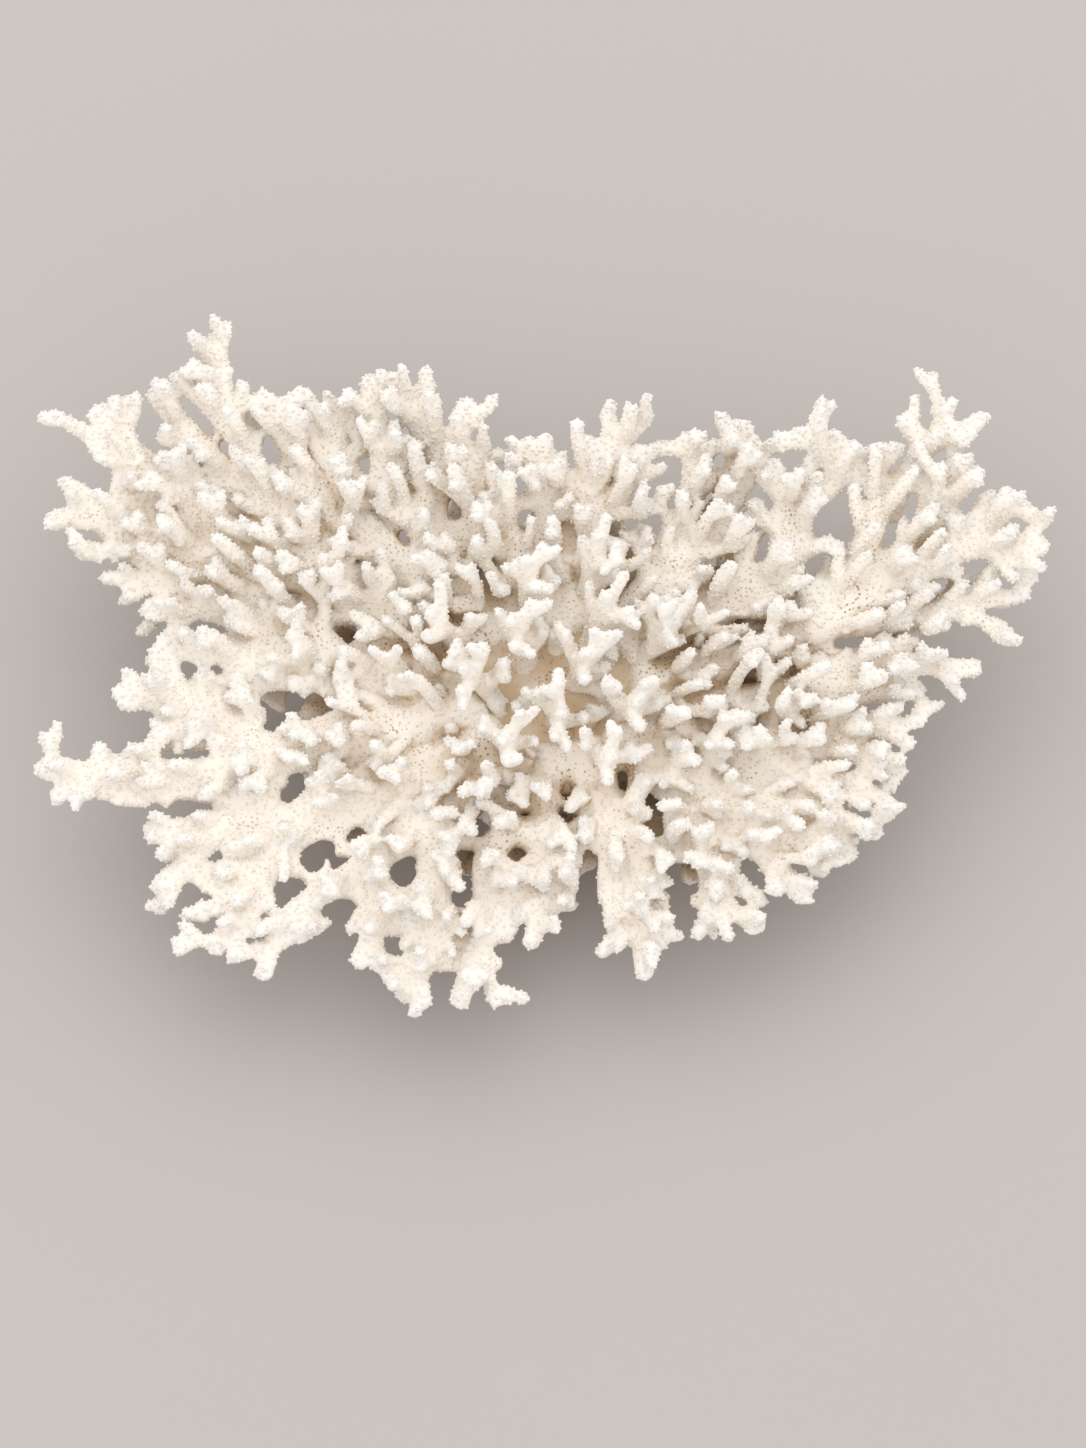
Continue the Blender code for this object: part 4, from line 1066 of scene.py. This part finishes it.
def softened(p, f, e, fill):
    # each point moves halfway to the mean of its neighbours and a little more than halfway back, in turns,
    # which smooths without shrinking; then only outwards, by fill, which rounds the creases between branches
    ends = np.concatenate([e, e[:, ::-1]])
    count = np.bincount(ends[:, 0], minlength=len(p))
    for k in range(skin["smoothRounds"] + skin["fillRounds"]):
        mean = np.stack([np.bincount(ends[:, 0], p[ends[:, 1], axis], len(p)) for axis in range(3)], -1)
        to = mean / count[:, None] - p
        if k < skin["smoothRounds"]:
            p = p + to * skin["inAndOut"][k % 2]
            continue
        if (k - skin["smoothRounds"]) % skin["normalsEvery"] == 0:
            n = normalsOf(p, f)
        out = np.maximum(0, (to * n).sum(axis=1)) * fill
        p = p + n * out[:, None]
    return p


# The crowd grid drives painted shade: surfaces facing crowded space are tinted tan as painted recess shade,
# partly also staining.
crowd = dict(
    cell=2.0, blur=3, ahead=6.0, margin=24.0, overlap=0.8, tipReach=36.0, farFromTips=40.0, widerThanDeep=1.4,
    # painted recess shade and staining, scaled by how far out on the crown a point lies
    shadeAndStainByReach=((30.0, 150.0), (1.15, 0.78)),   # recesses are browner in the middle than at the rim
)


def gridAround(colony):   # the lowest corner and the size of a grid round the colony
    balls = colony.room.balls[:colony.room.used]
    low = balls[:, :3].min(axis=0) - crowd["margin"]
    return low, np.ceil((balls[:, :3].max(axis=0) + crowd["margin"] - low) / crowd["cell"]).astype(int)


def crowdGrid(colony, slabs):   # share of the space round each cell that coral fills: a blurred count
    balls = colony.room.balls[:colony.room.used]
    low, size = gridAround(colony)
    grid = np.zeros(size)
    cells = tuple(((balls[:, :3] - low) / crowd["cell"]).astype(int).T)
    volumes = np.pi * balls[:, 3] ** 2 * twigs["ballStep"] * crowd["overlap"] / crowd["cell"] ** 3
    np.add.at(grid, cells, volumes)
    for points, _ in slabs:
        at = tuple(((points - low) / crowd["cell"]).astype(int).T)
        grid[at] = np.maximum(grid[at], 1.0)
    reach = crowd["blur"]
    for axis in (0, 1, 2, 0, 1, 2):
        total = np.cumsum(grid, axis=axis)
        grid = (np.roll(total, -reach, axis) - np.roll(total, reach + 1, axis)) / (2 * reach + 1)
        for edge in (slice(0, reach + 1), slice(-reach - 1, None)):
            grid[(slice(None),) * axis + (edge,)] = 0
    return low, grid


def nearestTipGrid(colony):   # the number of the nearest tip for each cell, or -1 far from all
    low, size = gridAround(colony)
    tips = np.array([tuple(x["path"][-1]) for x in colony.all if x["kind"] not in ("bridge", "under")])
    nearest = np.full(size, -1)
    best = np.full(size, crowd["tipReach"])
    steps = int(crowd["tipReach"] / crowd["cell"])
    for number, tip in enumerate(tips):
        at = ((tip - low) / crowd["cell"]).astype(int)
        a, b = np.maximum(at - steps, 0), np.minimum(at + steps + 1, size)
        x, y, z = (low[k] + (np.arange(a[k], b[k]) + 0.5) * crowd["cell"] - tip[k] for k in range(3))
        distance = np.sqrt(x[:, None, None] ** 2 + y[None, :, None] ** 2 + z[None, None] ** 2)
        block = tuple(slice(a[k], b[k]) for k in range(3))
        closer = distance < best[block]
        best[block] = np.where(closer, distance, best[block])
        nearest[block] = np.where(closer, number, nearest[block])
    return tips, nearest


def sampled(low, grid, points):   # the grid's value in the cell of each point
    cells = np.clip(((points - low) / crowd["cell"]).astype(int), 0, np.array(grid.shape) - 1)
    return grid[tuple(cells.T)]


webSlabs = makeWebs()
lowerSlab = makeLowerStorey()
gridLow, gridFull = crowdGrid(colony, [*webSlabs.values(), lowerSlab])
tipPlaces, tipNumbers = nearestTipGrid(colony)
print("webs over", {k: len(v[1]) for k, v in webSlabs.items()})


def tipDistances(p):   # distance to the nearest tip, and the way to it
    number = sampled(gridLow, tipNumbers, p)
    to = tipPlaces[np.maximum(number, 0)] - p
    distance = np.where(number < 0, crowd["farFromTips"], np.linalg.norm(to, axis=1))
    return distance, to / np.maximum(distance, 1e-6)[:, None]


nubs = dict(
    spacing=2.7, radius=0.92, top=0.66, height=0.60, sunk=0.55, out=1.0, ahead=0.55, apart=1.5, sides=5,
    fullWithin=9.0, noneBeyond=19.0, least=0.55, few=0.06, inner=0.85, rim=(60.0, 140.0),
    lowest=-0.15, sizes=(0.8, 1.15), whiter=2.0,   # lowest is the normal's slope; whiter, mm nearer the tip
)


def outward(p):   # how far out on the crown, which is that much wider than deep
    return np.hypot(p[:, 0], p[:, 1] * crowd["widerThanDeep"])


def scattered(points, cell, apart, rng):   # one random point in each cube, without those crowding another
    # the cubes' numbers along x, y and z make one key; the second time the side is apart, shifted by half
    order = rng.permutation(len(points))
    for shift in (0.0, 0.5):
        key = np.floor(points[order] / (cell if shift == 0 else apart) + shift + 2000).astype(np.int64)
        _, first = np.unique((key * (1, 4096, 4096 * 4096)).sum(axis=1), return_index=True)
        order = order[np.sort(first)]
    return order


def nubSurfaces(p, n, toTip, size):
    # a blunt five-sided cone on each site: a ring sunk in the skin, a smaller ring out along the axis
    axis = n * nubs["out"] + toTip * nubs["ahead"]
    axis /= np.linalg.norm(axis, axis=1)[:, None]
    side = np.cross(axis, (0.31, 0.52, 0.79))   # any direction does
    side /= np.linalg.norm(side, axis=1)[:, None]
    over = np.cross(axis, side)
    k = nubs["sides"]
    angle = np.arange(k) * 2 * np.pi / k
    spoke = side[:, None] * np.cos(angle)[None, :, None] + over[:, None] * np.sin(angle)[None, :, None]
    spoke = spoke * (nubs["radius"] * size)[:, None, None]
    low = (p - n * nubs["sunk"])[:, None] + spoke
    high = (p + axis * (nubs["height"] * size)[:, None])[:, None] + spoke * nubs["top"]
    i = np.arange(k)
    j = (i + 1) % k
    one = [np.stack([i, j, j + k], -1), np.stack([i, j + k, i + k], -1)]
    one += [np.array([(k, k + m, k + m + 1) for m in range(1, k - 1)])]
    one += [np.array([(0, m + 1, m) for m in range(1, k - 1)])]
    one = np.concatenate(one)
    faces = one[None] + (np.arange(len(p)) * 2 * k)[:, None, None]
    return np.concatenate([low, high], axis=1).reshape(-1, 3), faces.reshape(-1, 3)


def nubSites(p, n, distance):   # the points where nubs stand, and their sizes: dense near tips, few elsewhere
    near, far = nubs["rim"]
    rim = nubs["inner"] + (1 - nubs["inner"]) * np.clip((outward(p) - near) / (far - near), 0, 1)
    likely = (nubs["noneBeyond"] - distance) / (nubs["noneBeyond"] - nubs["fullWithin"])
    likely = np.clip(likely, nubs["few"], 1)
    rng = np.random.default_rng(len(p))
    sites = scattered(p, nubs["spacing"], nubs["apart"], rng)
    kept = (rng.random(len(sites)) < likely[sites] * rim[sites]) & (n[sites][:, 2] > nubs["lowest"])
    sites = sites[kept]
    size = rim[sites] * (nubs["least"] + (1 - nubs["least"]) * likely[sites])
    return sites, size * rng.uniform(*nubs["sizes"], len(sites))


def dressed(name, parts, isStalk):   # tubes and slabs to a finished piece
    p, f, e = fusedSkin(name, *joined(parts), skin["voxelBelow" if isStalk else "voxel"])
    distance, _ = tipDistances(p)
    within, fade = skin["tipFill"]
    fromTip = np.clip((distance - within) / fade, 0, 1)
    p = softened(p, f, e, skin["fillTwig"] + (skin["fillPlate"] - skin["fillTwig"]) * fromTip)
    move = skin["swell"]
    for seed, (period, height) in enumerate(skin["lumps"]):
        move = move + height * softNoise(p, period, seed)
    p = p + normalsOf(p, f) * move[:, None]
    if isStalk:
        p[:, 2] = np.where(p[:, 2] < skin["foot"], 0.0, p[:, 2])
    n = normalsOf(p, f)
    distance, way = tipDistances(p)
    sites, size = (np.empty(0, int), np.empty(0)) if isStalk else nubSites(p, n, distance)
    nubPoints, nubFaces = nubSurfaces(p[sites], n[sites], way[sites], size)
    points, faces = joined([(p, f), (nubPoints, nubFaces)])
    # full carries painted shade: how crowded the space just off the surface is stands in for recess shade
    # (partly staining), and darker adds painted shade on the stalk piece under the crown
    full = sampled(gridLow, gridFull, p + n * crowd["ahead"]) + lowerStorey["darker"] * isStalk
    full = full * np.interp(outward(p), *crowd["shadeAndStainByReach"])
    each = 2 * nubs["sides"]
    tip = np.concatenate([distance, np.repeat(distance[sites] - nubs["whiter"], each)])
    full = np.concatenate([full, np.repeat(full[sites], each)])
    return placed(name, meshFrom(name, points, faces, tip=tip, full=full)), len(f), len(nubFaces)


# Materials
coralLook = dict(
    # tan is painted recess shade, partly staining; tanFrom, tanMost and recessPatches set where it goes
    white=(0.82, 0.78, 0.725), cream=(0.88, 0.815, 0.725), tan=(0.53, 0.37, 0.20),
    poreBrown=(0.30, 0.19, 0.10), roughness=0.86, specular=0.25, whiteWithin=(0.0, 8.0),
    tanFrom=(0.30, 0.66), tanMost=0.85,
    blotches=(70.0, 3.0), recessPatches=(0.25, 0.65, 0.55, 1.0),
    poreSpacing=1.8, poreScatter=0.75, poreSize=(0.20, 0.36), poreMost=0.85, poresFrom=(5.0, 18.0),
    porePatches=(0.38, 0.62), poreLeast=0.3, poreDepth=0.25,
    grain=0.35, grainDetail=2.0, grainDepth=0.12, grainStrength=0.6,
)


def feed(tree, socket, value):   # a link where the value is a socket, otherwise the value itself
    if isinstance(value, bpy.types.NodeSocket):
        tree.links.new(value, socket)
    else:
        socket.default_value = value


def addNode(tree, kind, inputs=None, **settings):   # inputs are sockets or values
    node = tree.nodes.new(kind)
    for key, value in settings.items():
        setattr(node, key, value)
    for key, value in (inputs or {}).items():
        feed(tree, node.inputs[key], value)
    return node


def stretched(tree, value, low, high, first=0.0, last=1.0):   # low..high to first..last, clamped, eased
    ends = {"From Min": low, "From Max": high, "To Min": first, "To Max": last}
    node = addNode(tree, "ShaderNodeMapRange", {"Value": value, **ends}, interpolation_type="SMOOTHSTEP")
    return node.outputs["Result"]


def mixedColour(tree, share, a, b):   # a where share is 0, b where it is 1
    node = addNode(tree, "ShaderNodeMix", {0: share}, data_type="RGBA")
    for place, colour in ((6, a), (7, b)):
        feed(tree, node.inputs[place], (*colour, 1.0) if isinstance(colour, tuple) else colour)
    return node.outputs[2]


def product(tree, a, b):   # a times b, each a socket or a value
    return addNode(tree, "ShaderNodeMath", {0: a, 1: b}, operation="MULTIPLY").outputs[0]


def noiseOf(tree, where, scale, detail):   # scale in waves per metre
    values = {"Vector": where, "Scale": scale, "Detail": detail}
    return addNode(tree, "ShaderNodeTexNoise", values).outputs["Fac"]


def plainMaterial(name, look):   # the look's roughness and shine, no colour yet
    material = bpy.data.materials.new(name)
    material.use_nodes = True
    shader = material.node_tree.nodes["Principled BSDF"]
    shader.inputs["Roughness"].default_value = look["roughness"]
    shader.inputs["Specular IOR Level"].default_value = look["specular"]
    return material, material.node_tree, shader


def coralMaterial(name, look):   # cream, white near the tips, tan where it is crowded, brown pores in patches
    material, tree, shader = plainMaterial(name, look)
    where = addNode(tree, "ShaderNodeTexCoord").outputs["Object"]
    values = [addNode(tree, "ShaderNodeAttribute", attribute_name=x) for x in ("tip", "full")]
    tip, full = (x.outputs["Fac"] for x in values)
    blotches = noiseOf(tree, where, *look["blotches"])
    colour = stretched(tree, tip, *look["whiteWithin"], 1.0, 0.0)
    colour = mixedColour(tree, colour, look["cream"], look["white"])
    # painted recess shade, partly staining: tan where the attribute full is high, in patches
    recess = stretched(tree, full, *look["tanFrom"], 0.0, look["tanMost"])
    recess = product(tree, recess, stretched(tree, blotches, *look["recessPatches"]))
    colour = mixedColour(tree, recess, colour, look["tan"])
    spacing = {"Scale": 1.0 / (look["poreSpacing"] * mm), "Randomness": look["poreScatter"]}
    cells = addNode(tree, "ShaderNodeTexVoronoi", {"Vector": where, **spacing})
    pore = stretched(tree, cells.outputs["Distance"], *look["poreSize"], 1.0, 0.0)
    pore = product(tree, pore, stretched(tree, tip, *look["poresFrom"], 0.0, look["poreMost"]))
    pore = product(tree, pore, stretched(tree, blotches, *look["porePatches"], look["poreLeast"], 1.0))
    colour = mixedColour(tree, pore, colour, look["poreBrown"])
    dents = {"Height": pore, "Distance": look["poreDepth"] * mm, "Strength": 1.0}
    dimples = addNode(tree, "ShaderNodeBump", dents, invert=True).outputs["Normal"]
    grain = noiseOf(tree, where, 1.0 / (look["grain"] * mm), look["grainDetail"])
    rough = {"Height": grain, "Distance": look["grainDepth"] * mm, "Strength": look["grainStrength"]}
    bumps = addNode(tree, "ShaderNodeBump", {**rough, "Normal": dimples})
    tree.links.new(colour, shader.inputs["Base Color"])
    tree.links.new(bumps.outputs["Normal"], shader.inputs["Normal"])
    return material


coral = coralMaterial("bleached_coral", coralLook)


# The stalk: rings of radius across * lump by along * lump, tilted with the table, with a rib to every trunk
stalkShape = dict(
    rings=((0.0, 54.0, 43.0), (5.0, 53.0, 42.0), (17.0, 41.0, 33.0), (29.0, 39.0, 32.0), (38.0, 48.0, 38.0),
           (45.0, 51.0, 41.0), (51.0, 44.0, 35.0)),   # height, half width, half depth
    sides=180, rows=60, lumps=((1.9, 0.14), (4.6, 0.10)), lumpShare=0.8, lumpHeight=70.0,
    rib=0.10, ribWide=0.13,
)


def stalkSurface():   # lump is 1 plus noise at two sizes plus a bell round each trunk's bearing
    shape = stalkShape
    heights, wide, deep = np.array(shape["rings"]).T
    z = np.linspace(heights[0], heights[-1], shape["rows"])
    across, along = np.interp(z, heights, wide), np.interp(z, heights, deep)
    angle = np.arange(shape["sides"]) * 2 * np.pi / shape["sides"]
    x, y, zz = np.broadcast_arrays(np.cos(angle)[None], np.sin(angle)[None], z[:, None])
    spots = np.stack([x, y, zz / shape["lumpHeight"]], -1).reshape(-1, 3)
    lump = np.ones(x.shape)
    for size, share in shape["lumps"]:
        lump = lump + share * softNoise(spots * size, 1.0, 8).reshape(x.shape) * shape["lumpShare"]
    for limb in limbs.values():
        if limb.parent is None:
            start = growths[limb.name][0][0][0]
            bearing = math.atan2(start.y / palm["along"], start.x / palm["across"])
            away = np.angle(np.exp(1j * (angle - bearing)))
            lump = lump + shape["rib"] * np.exp(-(away / shape["ribWide"]) ** 2)[None]
    px, py = x * across[:, None] * lump, y * along[:, None] * lump
    tilt = table["backwardRise"] * py * zz / table["crownHeight"]
    return gridSurface(np.stack([px, py, zz + tilt], -1))


def makePieces():   # the stalk, the middle and the sectors of the rim, each from its own branches
    skinCount = nubCount = 0
    for sector in ("stalk", "middle", *sectors):
        found = [x for x in colony.all if x["sector"] == sector]
        parts = [branchSurface(branch, shapes[branch["kind"]]) for branch in found]
        nodes = [x["limb"] for x in found if x["kind"] == "limb"]
        if sector == "stalk":
            parts += [stalkSurface(), lowerSlab]
            nodes = ["base"]
        elif sector in webSlabs:
            parts.append(webSlabs[sector])
        piece, skinFaces, nubFaces = dressed("coral_" + sector, parts, sector == "stalk")
        piece.data.materials.append(coral)
        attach(piece, "root")
        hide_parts(*nodes)
        skinCount += skinFaces
        nubCount += nubFaces
        print(sector, len(found), "branches,", skinFaces, "+", nubFaces, "triangles, replaces", len(nodes))
    print("in all", skinCount, "of skin and", nubCount, "of nubs")


makePieces()


# Stage, light and camera
stage = dict(
    floor=(0.457, 0.424, 0.396), size=24.0, clouds=(3.0, 2.0), cloudDarker=0.97, roughness=0.95, specular=0.1,
    sky=(0.98, 0.98, 1.0), skyStrength=1.24,
    lamp=(-0.25, 0.95, 2.2), lampSize=(3.2, 2.4), lampPower=13.0, lampColour=(1.0, 0.985, 0.96),
)

view = dict(
    elevation=65.0, distance=3.0, frameHeight=579.2, middle=(-4.8, 0.0, 44.0), lower=13.6,
    sensor=36.0, clip=50.0,
)


def makeStage():   # a faintly cloudy floor, one large soft lamp and an even sky
    half = stage["size"] / 2
    corners = [(-half, -half, 0), (half, -half, 0), (half, half, 0), (-half, half, 0)]
    mesh = bpy.data.meshes.new("floor")
    mesh.from_pydata(corners, [], [(0, 1, 2, 3)])
    floor = placed("floor", mesh)
    material, tree, shader = plainMaterial("pale_floor", stage)
    where = addNode(tree, "ShaderNodeTexCoord").outputs["Object"]
    cloudy = noiseOf(tree, where, *stage["clouds"])
    darker = tuple(stage["cloudDarker"] * x for x in stage["floor"])
    tree.links.new(mixedColour(tree, cloudy, darker, stage["floor"]), shader.inputs["Base Color"])
    mesh.materials.append(material)

    lamp = bpy.data.lights.new("window", "AREA")
    lamp.shape = "RECTANGLE"
    lamp.size, lamp.size_y = stage["lampSize"]
    lamp.energy = stage["lampPower"]
    lamp.color = stage["lampColour"]
    lit = placed("window", lamp)
    lit.location = stage["lamp"]
    lit.rotation_euler = (-Vector(stage["lamp"])).to_track_quat("-Z", "Y").to_euler()

    world = bpy.data.worlds.new("studio")
    world.use_nodes = True
    sky = world.node_tree.nodes["Background"]
    sky.inputs["Color"].default_value = (*stage["sky"], 1.0)
    sky.inputs["Strength"].default_value = stage["skyStrength"]
    bpy.context.scene.world = world
    bpy.context.scene.view_settings.view_transform = "Standard"


def makeCamera():   # looks at the middle of the crown, along the view's elevation
    slope = math.radians(view["elevation"])
    back = Vector((0, -math.cos(slope), math.sin(slope)))
    high = Vector((0, math.sin(slope), math.cos(slope)))
    target = Vector(view["middle"]) * mm - high * view["lower"] * mm
    camera = bpy.data.cameras.new("camera")
    camera.sensor_width = view["sensor"]
    camera.lens = view["sensor"] * view["distance"] / (view["frameHeight"] * mm)
    camera.clip_end = view["clip"]
    holder = placed("camera", camera)
    holder.location = target + back * view["distance"]
    holder.rotation_euler = (-back).to_track_quat("-Z", "Y").to_euler()
    bpy.context.scene.camera = holder


makeStage()
makeCamera()
print("stage, light and camera are in place")
